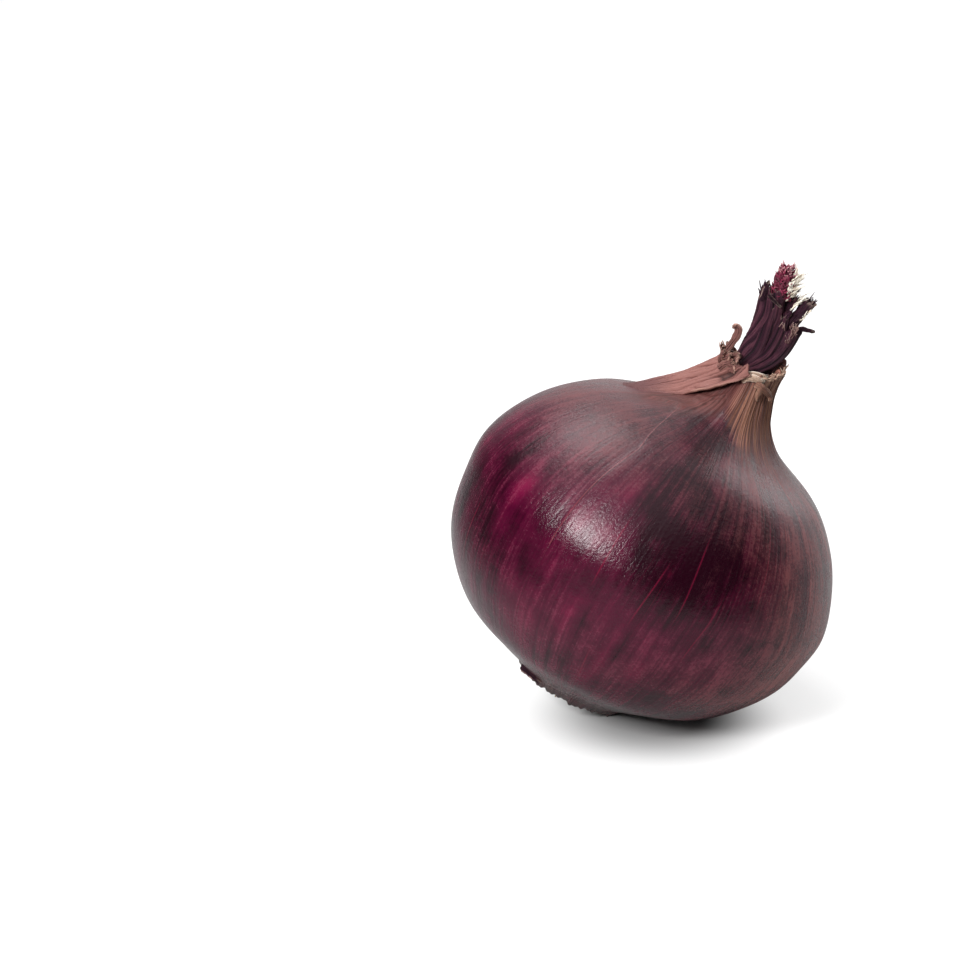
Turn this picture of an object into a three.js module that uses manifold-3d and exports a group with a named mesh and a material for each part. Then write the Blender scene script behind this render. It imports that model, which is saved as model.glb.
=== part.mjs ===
// A red onion lying as it comes to rest on a table. The bulb leans over on a small flat spot
// beside its root end, and its dry, torn neck points up and to the right (+X).
// Millimetres, +Z up. The origin is the middle of the flat spot, and -Y is the front.
import * as THREE from "three";
import { mergeVertices } from "three/addons/utils/BufferGeometryUtils.js";
import Module from "manifold-3d";

const wasm = await Module();
wasm.setup();

// Driving dimensions, in millimetres and degrees.
const WIDEST_RADIUS = 38.5;
const ROOT_CENTRE = new THREE.Vector3(-15.1, 0, 4.85);
const RIM = 72; // the torn rim's distance from the root end, along the axis
const SOCKET = { radius: 4, depth: 6 };
const ROOT_RECESS = { radius: 10, depth: 2.2 };
const SKIN = 0.8; // thickness of a loose dry skin
const GAP = 0.35; // clearance between separate pieces
const AROUND = 56; // faces round the bulb
const PLEATS = 14; // pleats of dry skin round the neck

const DEGREE = Math.PI / 180;
const vec = (x, y, z) => new THREE.Vector3(x, y, z);
const smooth = (x, low, high) => THREE.MathUtils.smoothstep(x, low, high);
const mix = THREE.MathUtils.lerp;

// A small seeded random source, so that every build places the repeats alike.
function randomFrom(seed) {
  let state = seed;
  return () => {
    state = (state * 1664525 + 1013904223) % 4294967296;
    return state / 4294967296;
  };
}

// A smooth curve through [value, distance] pairs, read as the value at a distance.
function readAlong(pairs) {
  const curve = new THREE.SplineCurve(pairs.map(([value, s]) => new THREE.Vector2(value, s)));
  const samples = curve.getPoints(400);
  const last = samples.length - 1;
  return (s) => {
    const next = THREE.MathUtils.clamp(samples.findIndex((p) => p.y >= s), -1, last);
    if (next <= 0) return samples[next === 0 ? 0 : last].x;
    const [a, b] = [samples[next - 1], samples[next]];
    return mix(a.x, b.x, (s - a.y) / (b.y - a.y));
  };
}

// The lean of the bulb's axis from upright, in degrees. It bends over up the shoulder and
// straightens again in the neck.
const leanDegrees = readAlong([
  [24.5, -6],
  [25.1, 15],
  [30, 35],
  [29.6, 55],
  [31, 62],
  [21, 72],
  [9, 84],
]);
const leanAt = (s) => leanDegrees(s) * DEGREE;

const AXIS_STEP = 0.25;
const AXIS_START = -6;
const axisPoints = [];

for (let s = AXIS_START, p = vec(0, 0, 0); s < RIM + 12; s += AXIS_STEP) {
  axisPoints.push(p);
  const lean = leanAt(s + AXIS_STEP / 2);
  p = p.clone().add(vec(Math.sin(lean), 0, Math.cos(lean)).multiplyScalar(AXIS_STEP));
}

// The axis point at distance s from the root end.
function axisAt(s) {
  const place = (s - AXIS_START) / AXIS_STEP;
  const i = THREE.MathUtils.clamp(Math.floor(place), 0, axisPoints.length - 2);
  const origin = axisPoints[-AXIS_START / AXIS_STEP];
  return axisPoints[i]
    .clone()
    .lerp(axisPoints[i + 1], place - i)
    .sub(origin)
    .add(ROOT_CENTRE);
}

// A point at distance s along the axis and radius r from it. Angle 0 is the low side (+X),
// 90 degrees the back, 180 the upper side and 270 the front.
function aroundAxis(s, angle, r) {
  const lean = leanAt(s);
  const out = vec(Math.cos(lean), 0, -Math.sin(lean));
  const side = vec(0, 1, 0);
  return axisAt(s)
    .addScaledVector(out, r * Math.cos(angle))
    .addScaledVector(side, r * Math.sin(angle));
}

// The bulb's outside from the root end to the rim, as radius and distance along the axis.
const OUTSIDE = [
  [12.9, -0.2],
  [15.9, 1.5],
  [20.9, 4],
  [28, 8],
  [33.3, 14],
  [36.6, 20],
  [38.1, 27],
  [WIDEST_RADIUS, 34],
  [36.1, 41],
  [31.6, 48],
  [24.9, 54],
  [16.3, 58],
  [11.1, 61],
  [7.9, 64],
  [6.3, 67],
  [5.5, 69.5],
  [5.3, RIM],
];
const outsideRadius = readAlong(OUTSIDE);

// Slow lobes round the bulb, as a share of its radius. They fade out towards both ends.
function lobes(s, angle) {
  const fade = smooth(s, 2, 14) * (1 - smooth(s, 52, 66));
  const wave =
    0.006 * Math.cos(2 * angle + 0.6) +
    0.005 * Math.cos(3 * angle + 2.1) +
    0.003 * Math.cos(5 * angle + 4);
  return 1 + fade * wave;
}

// Pleats of dry skin that gather towards the neck, as a height in millimetres.
function pleats(s, angle) {
  const main = Math.cos(PLEATS * angle + 0.9 * Math.sin(3 * angle));
  const broad = Math.cos(5 * angle + 1.3);
  return smooth(s, 54, 68) * (0.23 * main + 0.09 * broad);
}

// How far the torn rim stands above its mean height. It is highest on the low side.
function tear(angle) {
  return (
    2.5 * Math.max(0, Math.cos(angle - 0.15)) ** 3 -
    0.2 +
    0.4 * Math.sin(7 * angle + 1) +
    0.35 * Math.sin(13 * angle + 2.2) +
    0.3 * Math.sin(21 * angle)
  );
}

// Moves each vertex of a standard geometry by a formula, and keeps only the positions.
function reshape(geometry, place) {
  const position = geometry.attributes.position;
  for (let i = 0; i < position.count; i++) {
    const q = place(vec(0, 0, 0).fromBufferAttribute(position, i));
    position.setXYZ(i, q.x, q.y, q.z);
  }
  geometry.deleteAttribute("normal");
  geometry.deleteAttribute("uv");
  return mergeVertices(geometry, 1e-4);
}

// A closed geometry as a solid that can be joined and cut. A formula may mirror the shape,
// and then its faces are turned round.
function solid(geometry) {
  const vertProperties = new Float32Array(geometry.attributes.position.array);
  const triVerts = new Uint32Array(geometry.index.array);
  const made = new wasm.Manifold(new wasm.Mesh({ numProp: 3, vertProperties, triVerts }));
  if (made.volume() > 0) return made;
  for (let i = 0; i < triVerts.length; i += 3) {
    [triVerts[i + 1], triVerts[i + 2]] = [triVerts[i + 2], triVerts[i + 1]];
  }
  return new wasm.Manifold(new wasm.Mesh({ numProp: 3, vertProperties, triVerts }));
}

const join = (solids) => solids.reduce((whole, next) => whole.add(next));

function meshOf(made, name, colour, roughness) {
  const { vertProperties, triVerts } = made.getMesh();
  const geometry = new THREE.BufferGeometry()
    .setAttribute("position", new THREE.BufferAttribute(vertProperties, 3))
    .setIndex(new THREE.BufferAttribute(triVerts, 1));
  geometry.computeVertexNormals();
  const material = new THREE.MeshStandardMaterial({ color: colour, roughness, metalness: 0 });
  const mesh = new THREE.Mesh(geometry, material);
  mesh.name = name;
  return mesh;
}

// The table below the given height, to cut a flat spot with.
function tableTop(height) {
  const box = new THREE.BoxGeometry(300, 300, 40).translate(0, 0, height - 20);
  return solid(reshape(box, (p) => p));
}

// A surface turned from a profile of [radius, distance] pairs and then bent to the axis.
function turned(profile, around, place) {
  const points = profile.map(([r, s]) => new THREE.Vector2(r, s));
  const lathe = new THREE.LatheGeometry(points, around);
  return solid(
    reshape(lathe, (p) => place(p.y, Math.atan2(p.z, p.x), Math.hypot(p.x, p.z))),
  );
}

// A tapering stick with a closed end along a path: radii is a function of the share along
// it and of the angle round it, and ragged adds to the share at the far end.
function stick(points, radii, sides, steps, flatten = 1, ragged = () => 0) {
  const path = new THREE.CatmullRomCurve3(points, false, "centripetal");
  const cylinder = new THREE.CylinderGeometry(1, 1, 1, sides, steps);
  return solid(
    reshape(cylinder, (p) => {
      const angle = Math.atan2(p.z, p.x);
      const share = p.y + 0.5;
      const radius = Math.hypot(p.x, p.z) * radii(share, angle);
      const t = THREE.MathUtils.clamp(share, 0, 1);
      const along = path.getTangent(t);
      const back = vec(0, 1, 0).addScaledVector(along, -along.y).normalize();
      const right = vec(0, 0, 0).crossVectors(back, along);
      return path
        .getPoint(t)
        .addScaledVector(right, radius * Math.cos(angle))
        .addScaledVector(back, radius * flatten * Math.sin(angle))
        .addScaledVector(along, smooth(share, 0.8, 1) * ragged(angle));
    }),
  );
}

// A thin strap along a path. Its width lies along wide, which turns by twist towards the
// far end, and its middle is arched by arch.
function strap(points, { wide, width, thick = SKIN, twist = 0, arch = 0, across = 2, steps = 5 }) {
  const path = new THREE.CatmullRomCurve3(points, false, "centripetal");
  const box = new THREE.BoxGeometry(1, 1, 1, across, steps, 1);
  return solid(
    reshape(box, (p) => {
      const share = p.y + 0.5;
      const along = path.getTangent(share);
      const side = wide
        .clone()
        .addScaledVector(along, -wide.dot(along))
        .normalize()
        .applyAxisAngle(along, twist * share);
      const face = vec(0, 0, 0).crossVectors(side, along);
      const rise = arch * (1 - 4 * p.x * p.x);
      return path
        .getPoint(share)
        .addScaledVector(side, p.x * width(share))
        .addScaledVector(face, p.z * thick + rise);
    }),
  );
}

// The bulb in its tight skin, with the pleated neck, the torn rim round the stem's socket,
// the recess and lip of torn skin at the root end, and the flat spot.
function makeBulb() {
  const outside = new THREE.SplineCurve(OUTSIDE.map(([r, s]) => new THREE.Vector2(r, s)))
    .getSpacedPoints(32)
    .map((p) => [p.x, p.y]);
  const floor = RIM - SOCKET.depth;
  const profile = [
    [0, ROOT_RECESS.depth],
    [ROOT_RECESS.radius - 1.6, ROOT_RECESS.depth - 0.3],
    [ROOT_RECESS.radius, 0.4],
    [ROOT_RECESS.radius + 0.9, -1.2],
    [ROOT_RECESS.radius + 1.8, -1.4],
    ...outside,
    [SOCKET.radius + 0.85, RIM + 0.5],
    [SOCKET.radius + 0.1, RIM],
    [SOCKET.radius, RIM - 2.5],
    [SOCKET.radius - 0.2, floor],
    [0, floor - 0.3],
  ];
  const place = (s, angle, r) => {
    const shell = r > SOCKET.radius + 0.5 && s > 40;
    const torn = r > 0 ? smooth(s, RIM - 3.2, RIM) * tear(angle) : 0;
    const lip = s < -0.9 ? 0.55 * Math.sin(9 * angle) + 0.5 * Math.sin(17 * angle + 1) : 0;
    const radius = r * lobes(s, angle) + (shell ? pleats(s, angle) : 0);
    return aroundAxis(s + torn + lip, angle, radius);
  };
  return join([turned(profile, AROUND, place), ...makeDogEar()]).subtract(tableTop(0));
}

// The torn corners of the rim that hang down over the front of the neck.
function makeDogEar() {
  return [
    { angle: 296, width: 3.2, fall: 4.2, lean: 7 },
    { angle: 312, width: 2, fall: 6, lean: 5 },
  ].map(({ angle, width, fall, lean }) => {
    const reach = (s, lift, turn = 0) =>
      aroundAxis(s, (angle + turn) * DEGREE, outsideRadius(s) + lift);
    const path = [
      reach(RIM - 0.8, -0.5),
      reach(RIM + 0.4, 0.6),
      reach(RIM - 1.6, 1.3, lean / 2),
      reach(RIM - fall, 0.9, lean),
    ];
    return strap(path, {
      wide: vec(1, 0.5, 0),
      width: (t) => width * (1 - 0.5 * t),
      arch: 0.3,
    });
  });
}

// The loose outer skin: a pleated fold that bridges the hollow between the shoulder and the
// neck on the upper side, with a free front edge, and torn scraps and a curl at its top.
function makeLooseSkin() {
  const low = 57;
  const high = RIM + 0.8;
  const box = new THREE.BoxGeometry(1, 1, 1, 24, 13, 1);
  const fold = solid(
    reshape(box, (p) => {
      const up = p.y + 0.5;
      const over = p.x + 0.5;
      const front = 176 + 86 * up ** 1.05;
      const back = 162 - 46 * smooth(up, 0, 0.7);
      const degrees = mix(back, front, over);
      const upper = Math.exp(-(((degrees - 176) / 40) ** 2));
      const bridge = 5 * Math.sin(Math.PI * up) ** 0.9;
      const free = 0.9 * smooth(over, 0.75, 1) * smooth(up, 0.15, 0.4);
      const fine = 0.36 * smooth(up, 0.1, 0.35) * Math.cos(10 * Math.PI * over + 1.5 * up);
      const lift = GAP + 0.7 + 0.4 * smooth(up, 0.3, 0.8) + bridge * (0.16 + 0.84 * upper);
      const ragged = up === 1 ? 0.6 * Math.sin(23 * over) + 0.5 * Math.sin(41 * over + 1) : 0;
      const skin = SKIN * mix(0.8, 1, smooth(up, 0, 0.2));
      const s = mix(low, high, up);
      const r = outsideRadius(s) + lift + free + fine + p.z * skin;
      return aroundAxis(s + ragged, degrees * DEGREE, r);
    }),
  );
  return join([fold, ...makeScraps()]);
}

// Scraps of dry skin and the standing curl, rooted in the top of the loose skin.
function makeScraps() {
  const at = (s, degrees, lift) =>
    aroundAxis(s, degrees * DEGREE, outsideRadius(Math.min(s, RIM)) + lift);
  const curl = strap(
    [
      at(RIM - 0.6, 178, 1.6),
      vec(13.1, -0.4, 72.3),
      vec(14.1, -0.6, 73.7),
      vec(15, -0.8, 75.2),
      vec(15.3, -0.8, 76.4),
      vec(14.9, -0.7, 77.3),
      vec(14.3, -0.5, 77.7),
    ],
    { wide: vec(0.9, -0.4, 0), width: (t) => 1.5 - 0.3 * t, thick: 0.7, arch: 0.25, steps: 10 },
  );
  const front = strap([vec(11.8, -2.2, 71.3), vec(13.2, -2.6, 72.4), vec(14.8, -2.9, 73.2)], {
    wide: vec(0.3, -0.3, -1),
    width: (t) => 2.2 - 0.9 * t,
    arch: 0.3,
  });
  const low = strap([vec(10.9, -3.6, 69.4), vec(12.4, -4.2, 70.4), vec(14.1, -5, 70.6)], {
    wide: vec(0.2, -0.2, -1),
    width: (t) => 1.9 - 0.7 * t,
    arch: 0.3,
  });
  const standing = [
    { turn: 140, rise: 1.6, bend: 1.2, wide: 2.6 },
    { turn: 161, rise: 2.4, bend: 0.8, wide: 2.2 },
    { turn: 196, rise: 1.2, bend: 1.4, wide: 2 },
  ].map(({ turn, rise, bend, wide }) =>
    strap(
      [
        at(RIM - 0.8, turn, 1.6),
        at(RIM + 0.9, turn, 1.7),
        at(RIM + rise + 0.6, turn + 6 * bend, 1.2 + bend),
      ],
      {
        wide: vec(-Math.sin(turn * DEGREE), Math.cos(turn * DEGREE), 0.2),
        width: (t) => wide * (1 - 0.55 * t),
        arch: 0.25,
        twist: 0.4 * bend,
      },
    ),
  );
  return [curl, front, low, ...standing];
}

// The stem: the dried, dark leaf bases that rise out of the neck. They sweep up from a foot
// that fills the socket, as a tall fluted stalk with a hollow top and a short torn lobe.
const HEART = { base: vec(22.4, -0.2, 82), tip: vec(24.5, 0, 90), radius: 1.8 };

function makeStem() {
  const flutes = (angle, t) =>
    1 + 0.08 * Math.cos(8 * angle + 3 * t) + 0.05 * Math.cos(3 * angle - 2 * t);
  const foot = turned(
    [
      [0, RIM - SOCKET.depth + GAP],
      [SOCKET.radius - 0.2 - GAP, RIM - SOCKET.depth + GAP],
      [SOCKET.radius - GAP, RIM - 2.5],
      [SOCKET.radius - GAP - 0.2, RIM - 0.2],
      [SOCKET.radius - GAP - 0.3, RIM + 1],
      [2.2, RIM + 2.6],
      [0, RIM + 3.4],
    ],
    30,
    (s, angle, r) =>
      aroundAxis(s, angle, r * (1 - 0.04 * (1 + Math.cos(9 * angle + 0.5 * (s - RIM))))),
  );
  const stalk = stick(
    [
      vec(17.7, 0.1, 68),
      vec(18.1, 0.2, 71.4),
      vec(19.6, 0.2, 74.8),
      vec(20.9, 0.1, 79),
      vec(21.4, 0, 82.3),
      vec(21.7, 0, 84.4),
    ],
    (t, angle) => (2.75 - 0.3 * t - 0.45 * t ** 5) * flutes(angle, t),
    24,
    11,
    0.9,
    (angle) => 0.7 * Math.cos(angle - 2.9) + 0.5 * Math.sin(5 * angle + 1),
  );
  const lobe = stick(
    [
      vec(19.2, -0.6, 67.6),
      vec(20.3, -0.7, 70.3),
      vec(22.5, -0.8, 73),
      vec(24.3, -0.6, 75.6),
      vec(25.1, -0.5, 77),
    ],
    (t, angle) => (1.9 + 0.5 * smooth(t, 0.2, 0.6) - 0.4 * t ** 3) * flutes(angle, 1 + t),
    20,
    8,
    0.85,
    (angle) => 0.6 * Math.sin(4 * angle) + 0.4 * Math.cos(7 * angle),
  );
  const backLeaf = strap(
    [vec(18.5, 1.6, 67.6), vec(19.7, 2.3, 71), vec(21.6, 2.5, 75.5), vec(23.1, 2.2, 79.6)],
    { wide: vec(1, 0.1, -0.3), width: (t) => 3.6 - t, thick: 1.2, arch: 1, across: 4 },
  );
  const prongs = [
    { path: [vec(22.2, -0.2, 77), vec(24, -0.3, 78.9), vec(28.7, -0.4, 82.4)], wide: 2.2 },
    { path: [vec(25, -0.5, 74.6), vec(27.7, -0.6, 76.7), vec(29.2, -0.5, 76.1)], wide: 1.5 },
    { path: [vec(24.1, -0.9, 75), vec(25, -1, 76.4), vec(26.1, -1, 78.1)], wide: 1.4 },
    { path: [vec(22.6, 1.4, 78.2), vec(24, 1.5, 81.2), vec(26, 1.4, 84)], wide: 1.5 },
  ].map(({ path, wide }) =>
    strap(path, {
      wide: vec(0.6, 0.2, -0.8),
      width: (t) => wide * (1 - 0.3 * t),
      thick: 0.9,
      arch: 0.3,
      twist: 0.4,
    }),
  );
  const lift = HEART.tip.clone().sub(HEART.base).normalize();
  const hollow = stick(
    [HEART.base.clone().addScaledVector(lift, -0.2), HEART.tip],
    () => HEART.radius - 0.1,
    20,
    2,
  );
  return join([foot, stalk, lobe, backLeaf, ...prongs]).subtract(hollow);
}

// The bright, ragged heart of the stem: pointed shreds round a short core.
function makeHeart() {
  const random = randomFrom(11);
  const axis = HEART.tip.clone().sub(HEART.base);
  const length = axis.length();
  const lift = axis.clone().normalize();
  const side = vec(0, 1, 0);
  const right = vec(0, 0, 0).crossVectors(side, lift).normalize();
  const along = (share) => HEART.base.clone().addScaledVector(lift, length * share);
  const core = stick(
    [along(0.02), along(0.62)],
    (t) => (HEART.radius - 0.1 - GAP) * (1 - 0.25 * t),
    12,
    3,
  );
  const shreds = Array.from({ length: 14 }, (_, i) => {
    const angle = i * 137.5 * DEGREE;
    const out = right.clone().multiplyScalar(Math.cos(angle)).addScaledVector(side, Math.sin(angle));
    const far = (0.55 + 0.45 * random()) * (i % 3 ? 1 : 0.5);
    const start = along(0.42).addScaledVector(out, 0.5);
    const middle = along(0.66).addScaledVector(out, 1.5 * far);
    const end = along(0.82 + 0.2 * random() - 0.1 * far).addScaledVector(out, 1.8 * far);
    return stick([start, middle, end], (t) => 0.8 - 0.5 * t, 5, 2, 0.7);
  });
  const fibres = [
    { end: vec(26.3, -0.4, 86.9), wide: 1 },
    { end: vec(27.4, 0.2, 85.6), wide: 1.2 },
    { end: vec(26.8, 0.9, 87.6), wide: 0.9 },
  ].map(({ end, wide }) =>
    strap([along(0.28), along(0.42).add(vec(1.2, 0, 0)), end], {
      wide: vec(0.8, 0.3, -0.5),
      width: (t) => wide * (1 - 0.35 * t),
      thick: 0.65,
    }),
  );
  return join([core, ...shreds, ...fibres]);
}

// The root plate: a low corky dome in the recess, with a mat of short dry root stubs.
function makeRootPlate() {
  const random = randomFrom(5);
  const edge = ROOT_RECESS.radius - 1.6 - GAP;
  const plate = turned(
    [
      [0, ROOT_RECESS.depth - GAP],
      [edge - 0.3, ROOT_RECESS.depth - 0.3 - GAP],
      [edge, 0.6],
      [edge - 1.2, -0.2],
      [edge * 0.5, -0.6],
      [0, -0.7],
    ],
    32,
    (s, angle, r) => aroundAxis(s, angle, r * (1 + 0.02 * Math.sin(11 * angle))),
  );
  const count = 34;
  const stubs = Array.from({ length: count }, (_, i) => {
    const angle = i * 137.5 * DEGREE;
    const r = (edge - 0.9) * Math.sqrt((i + 0.6) / count);
    const bend = (random() - 0.5) * 0.9;
    const length = 1.4 + 1.9 * random();
    const base = aroundAxis(0.5, angle, r * 0.96);
    const middle = aroundAxis(-0.9, angle + bend * 0.1, Math.min(r + 0.3, edge));
    const end = aroundAxis(-0.7 - length, angle + bend * 0.35, Math.min(r + 0.5, edge + 0.4));
    return stick([base, middle, end], (t) => 0.5 - 0.17 * t, 5, 2);
  });
  return join([plate, ...stubs]).subtract(tableTop(GAP));
}

const onion = new THREE.Group();
onion.add(
  meshOf(makeBulb(), "bulb", 0x4b1428, 0.35),
  meshOf(makeLooseSkin(), "loose_skin", 0x8c5d52, 0.7),
  meshOf(makeStem(), "stem", 0x2f1626, 0.75),
  meshOf(makeHeart(), "stem_heart", 0x7d1a3c, 0.7),
  meshOf(makeRootPlate(), "root_plate", 0x77654d, 0.85),
);

export default onion;
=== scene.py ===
"""A red onion lying at rest on a pale table: its glossy veined bulb, the loose dry skin and torn
rim of its neck, the dark split stem with its bright heart, and the corky root plate.

Shapes are worked out in millimetres on the bulb's bent axis and set down in metres.
"""

import logging
import math
from collections.abc import Callable, Sequence
from dataclasses import dataclass, field
from enum import Enum

import bpy
import numpy as np
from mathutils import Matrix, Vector


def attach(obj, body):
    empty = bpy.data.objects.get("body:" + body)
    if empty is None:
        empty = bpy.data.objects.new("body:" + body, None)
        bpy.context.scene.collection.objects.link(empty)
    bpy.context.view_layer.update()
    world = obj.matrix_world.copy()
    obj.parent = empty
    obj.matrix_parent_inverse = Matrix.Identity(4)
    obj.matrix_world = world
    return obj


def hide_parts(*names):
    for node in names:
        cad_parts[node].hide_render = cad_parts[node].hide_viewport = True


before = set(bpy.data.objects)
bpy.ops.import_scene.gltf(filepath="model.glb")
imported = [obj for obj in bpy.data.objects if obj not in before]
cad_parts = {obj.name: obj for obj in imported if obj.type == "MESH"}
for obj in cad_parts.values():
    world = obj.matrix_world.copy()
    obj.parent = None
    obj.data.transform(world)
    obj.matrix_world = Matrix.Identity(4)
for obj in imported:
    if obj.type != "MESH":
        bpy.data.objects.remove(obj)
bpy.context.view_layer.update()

log = logging.getLogger("onion")

MM = 0.001
MERGE = 2e-6  # Vertices nearer than this, in metres, become one.
TURN = 2 * math.pi
GOLDEN = 2.39996  # The golden angle, in radians.
Array = np.ndarray
Shape = Callable[[Array, Array], Array]
Point = tuple[float, float, float]
Colour = tuple[float, float, float]


class Slot(Enum):
    """The record's material slots."""

    BULB = "bulb_skin"
    DRY = "dry_skin"
    STEM = "stem_leaf"
    HEART = "stem_heart"
    ROOTS = "roots"


def smooth(x: Array, low: float, high: float) -> Array:
    """Rises smoothly from 0 at low to 1 at high.

    Args:
        x: The values to grade.
        low: Where the rise starts.
        high: Where the rise ends.

    Returns:
        The grades, from 0 to 1.
    """
    t = np.clip((x - low) / (high - low), 0, 1)
    return t * t * (3 - 2 * t)


def bell(x: Array, middle: float, width: float) -> Array:
    """Returns a bell curve of height 1 round middle."""
    return np.exp(-(((x - middle) / width) ** 2))


def unit(v: Array) -> Array:
    """Returns the vectors scaled to length 1."""
    return v / np.maximum(np.linalg.norm(v, axis=-1, keepdims=True), 1e-9)


def cubic(a: Array, b: Array, c: Array, d: Array, t: Array) -> Array:
    """Returns the smooth curve from b to c at the shares t, led by its neighbours a and d."""
    v0, v1 = (c - a) / 2, (d - b) / 2
    return (2 * b - 2 * c + v0 + v1) * t**3 + (3 * c - 3 * b - 2 * v0 - v1) * t**2 + v0 * t + b


def curve_through(points: Sequence[Sequence[float]], t: Array) -> Array:
    """Reads a smooth curve through points.

    Args:
        points: The points that the curve passes through.
        t: Places along the curve, from 0 to 1.

    Returns:
        One point for each place.
    """
    p = np.asarray(points, float)
    p = np.vstack([2 * p[0] - p[1], p, 2 * p[-1] - p[-2]])
    x = np.clip(t, 0, 1) * (len(p) - 3)
    i = np.minimum(x.astype(int), len(p) - 4)
    return cubic(p[i], p[i + 1], p[i + 2], p[i + 3], (x - i)[..., None])


def heading(points: Sequence[Sequence[float]], t: Array, step: float) -> Array:
    """Returns the directions of the curve through points at the places t."""
    return unit(curve_through(points, t + step) - curve_through(points, t - step))


@dataclass(frozen=True)
class BulbForm:
    """The bulb's bent axis and turned outline, in millimetres and degrees.

    Each pair holds a value and its distance from the root end along the axis. Angle 0 is the
    low side, 90 the back, 180 the upper side and 270 the front.
    """

    root: Point = (-15.1, 0.0, 4.85)
    rim: float = 72.0
    leans: tuple[tuple[float, float], ...] = (
        (24.5, -6), (25.1, 15), (30, 35), (29.6, 55), (31, 62), (21, 72), (9, 84),
    )
    outline: tuple[tuple[float, float], ...] = (
        (12.9, -0.2), (15.9, 1.5), (20.9, 4), (28, 8), (33.3, 14), (36.6, 20), (38.1, 27),
        (38.5, 34), (36.1, 41), (31.6, 48), (24.9, 54), (16.3, 58), (11.1, 61), (7.9, 64),
        (6.3, 67), (5.5, 69.5), (5.3, 72),
    )

    def _read(self, pairs: Sequence[tuple[float, float]], s: Array) -> Array:
        """Reads a smooth curve through the pairs at the distances s.

        Args:
            pairs: Values with their distances along the axis.
            s: Distances along the axis, in millimetres.

        Returns:
            The values at those distances.
        """
        ends = [pairs[0], *pairs, pairs[-1]]
        p = np.asarray(ends, float)
        t = np.linspace(0, 1, 60)[:, None]
        line = np.concatenate([cubic(*four, t) for four in zip(p, p[1:], p[2:], p[3:])])
        return np.interp(s, line[:, 1], line[:, 0])

    def radius(self, s: Array) -> Array:
        """Returns the outside radius at the distances s."""
        return self._read(self.outline, s)

    def lean(self, s: Array) -> Array:
        """Returns the axis's lean from upright at the distances s, in radians."""
        return np.radians(self._read(self.leans, s))

    def axis(self, s: Array) -> Array:
        """Returns the axis points at the distances s.

        Args:
            s: Distances along the axis, in millimetres.

        Returns:
            One point for each place, in millimetres.
        """
        step = 0.25
        line = np.arange(-6, self.rim + 12, step)
        lean = self.lean(line + step / 2)
        run = np.stack([np.sin(lean), np.zeros_like(lean), np.cos(lean)], -1) * step
        points = np.vstack([np.zeros(3), np.cumsum(run, 0)[:-1]])
        points += np.array(self.root) - [np.interp(0, line, points[:, k]) for k in range(3)]
        return np.stack([np.interp(s, line, points[:, k]) for k in range(3)], -1)

    def place(self, s: Array, angle: Array, r: Array) -> Array:
        """Places points round the axis.

        Args:
            s: Distances along the axis.
            angle: Angles round it, in radians.
            r: Distances from it.

        Returns:
            The points, in millimetres.
        """
        s, angle, r = np.broadcast_arrays(np.asarray(s, float), angle, r)
        lean = self.lean(s)
        across = r * np.cos(angle)
        offset = [across * np.cos(lean), r * np.sin(angle), -across * np.sin(lean)]
        return self.axis(s) + np.stack(offset, -1)

    def on_skin(self, s: float, degrees: float, lift: float = 0) -> Array:
        """Returns one point on the outside, raised by lift."""
        r = self.radius(np.array(min(s, self.rim))) + lift
        return self.place(np.array(s), np.radians(degrees), r)


FORM = BulbForm()


# Making pieces


def only(piece: bpy.types.Object) -> None:
    """Selects one object alone and makes it the active one.

    Args:
        piece: The object to select.
    """
    bpy.ops.object.select_all(action="DESELECT")
    piece.select_set(True)
    bpy.context.view_layer.objects.active = piece


def add_object(name: str, data: bpy.types.ID) -> bpy.types.Object:
    """Adds an object to the scene.

    Args:
        name: The object's name.
        data: Its mesh, camera or light.

    Returns:
        The new object.
    """
    made = bpy.data.objects.new(name, data)
    bpy.context.scene.collection.objects.link(made)
    return made


def close_up(piece: bpy.types.Object, merge: bool) -> None:
    """Turns the faces outwards and shades them smoothly.

    Args:
        piece: The object whose mesh is finished.
        merge: Whether vertices that meet are merged first.
    """
    only(piece)
    bpy.ops.object.mode_set(mode="EDIT")
    bpy.ops.mesh.select_all(action="SELECT")
    if merge:
        bpy.ops.mesh.remove_doubles(threshold=MERGE)
    bpy.ops.mesh.normals_make_consistent(inside=False)
    bpy.ops.object.mode_set(mode="OBJECT")
    bpy.ops.object.shade_smooth()


def set_attribute(mesh: bpy.types.Mesh, name: str, values: Array) -> None:
    """Stores one number or one vector for each vertex.

    Args:
        mesh: The mesh to store them on.
        name: The attribute's name, which the finishes read.
        values: One row for each vertex.
    """
    kind = "FLOAT_VECTOR" if values.ndim == 2 else "FLOAT"
    layer = mesh.attributes.new(name, kind, "POINT")
    layer.data.foreach_set("vector" if values.ndim == 2 else "value", values.ravel())


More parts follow.
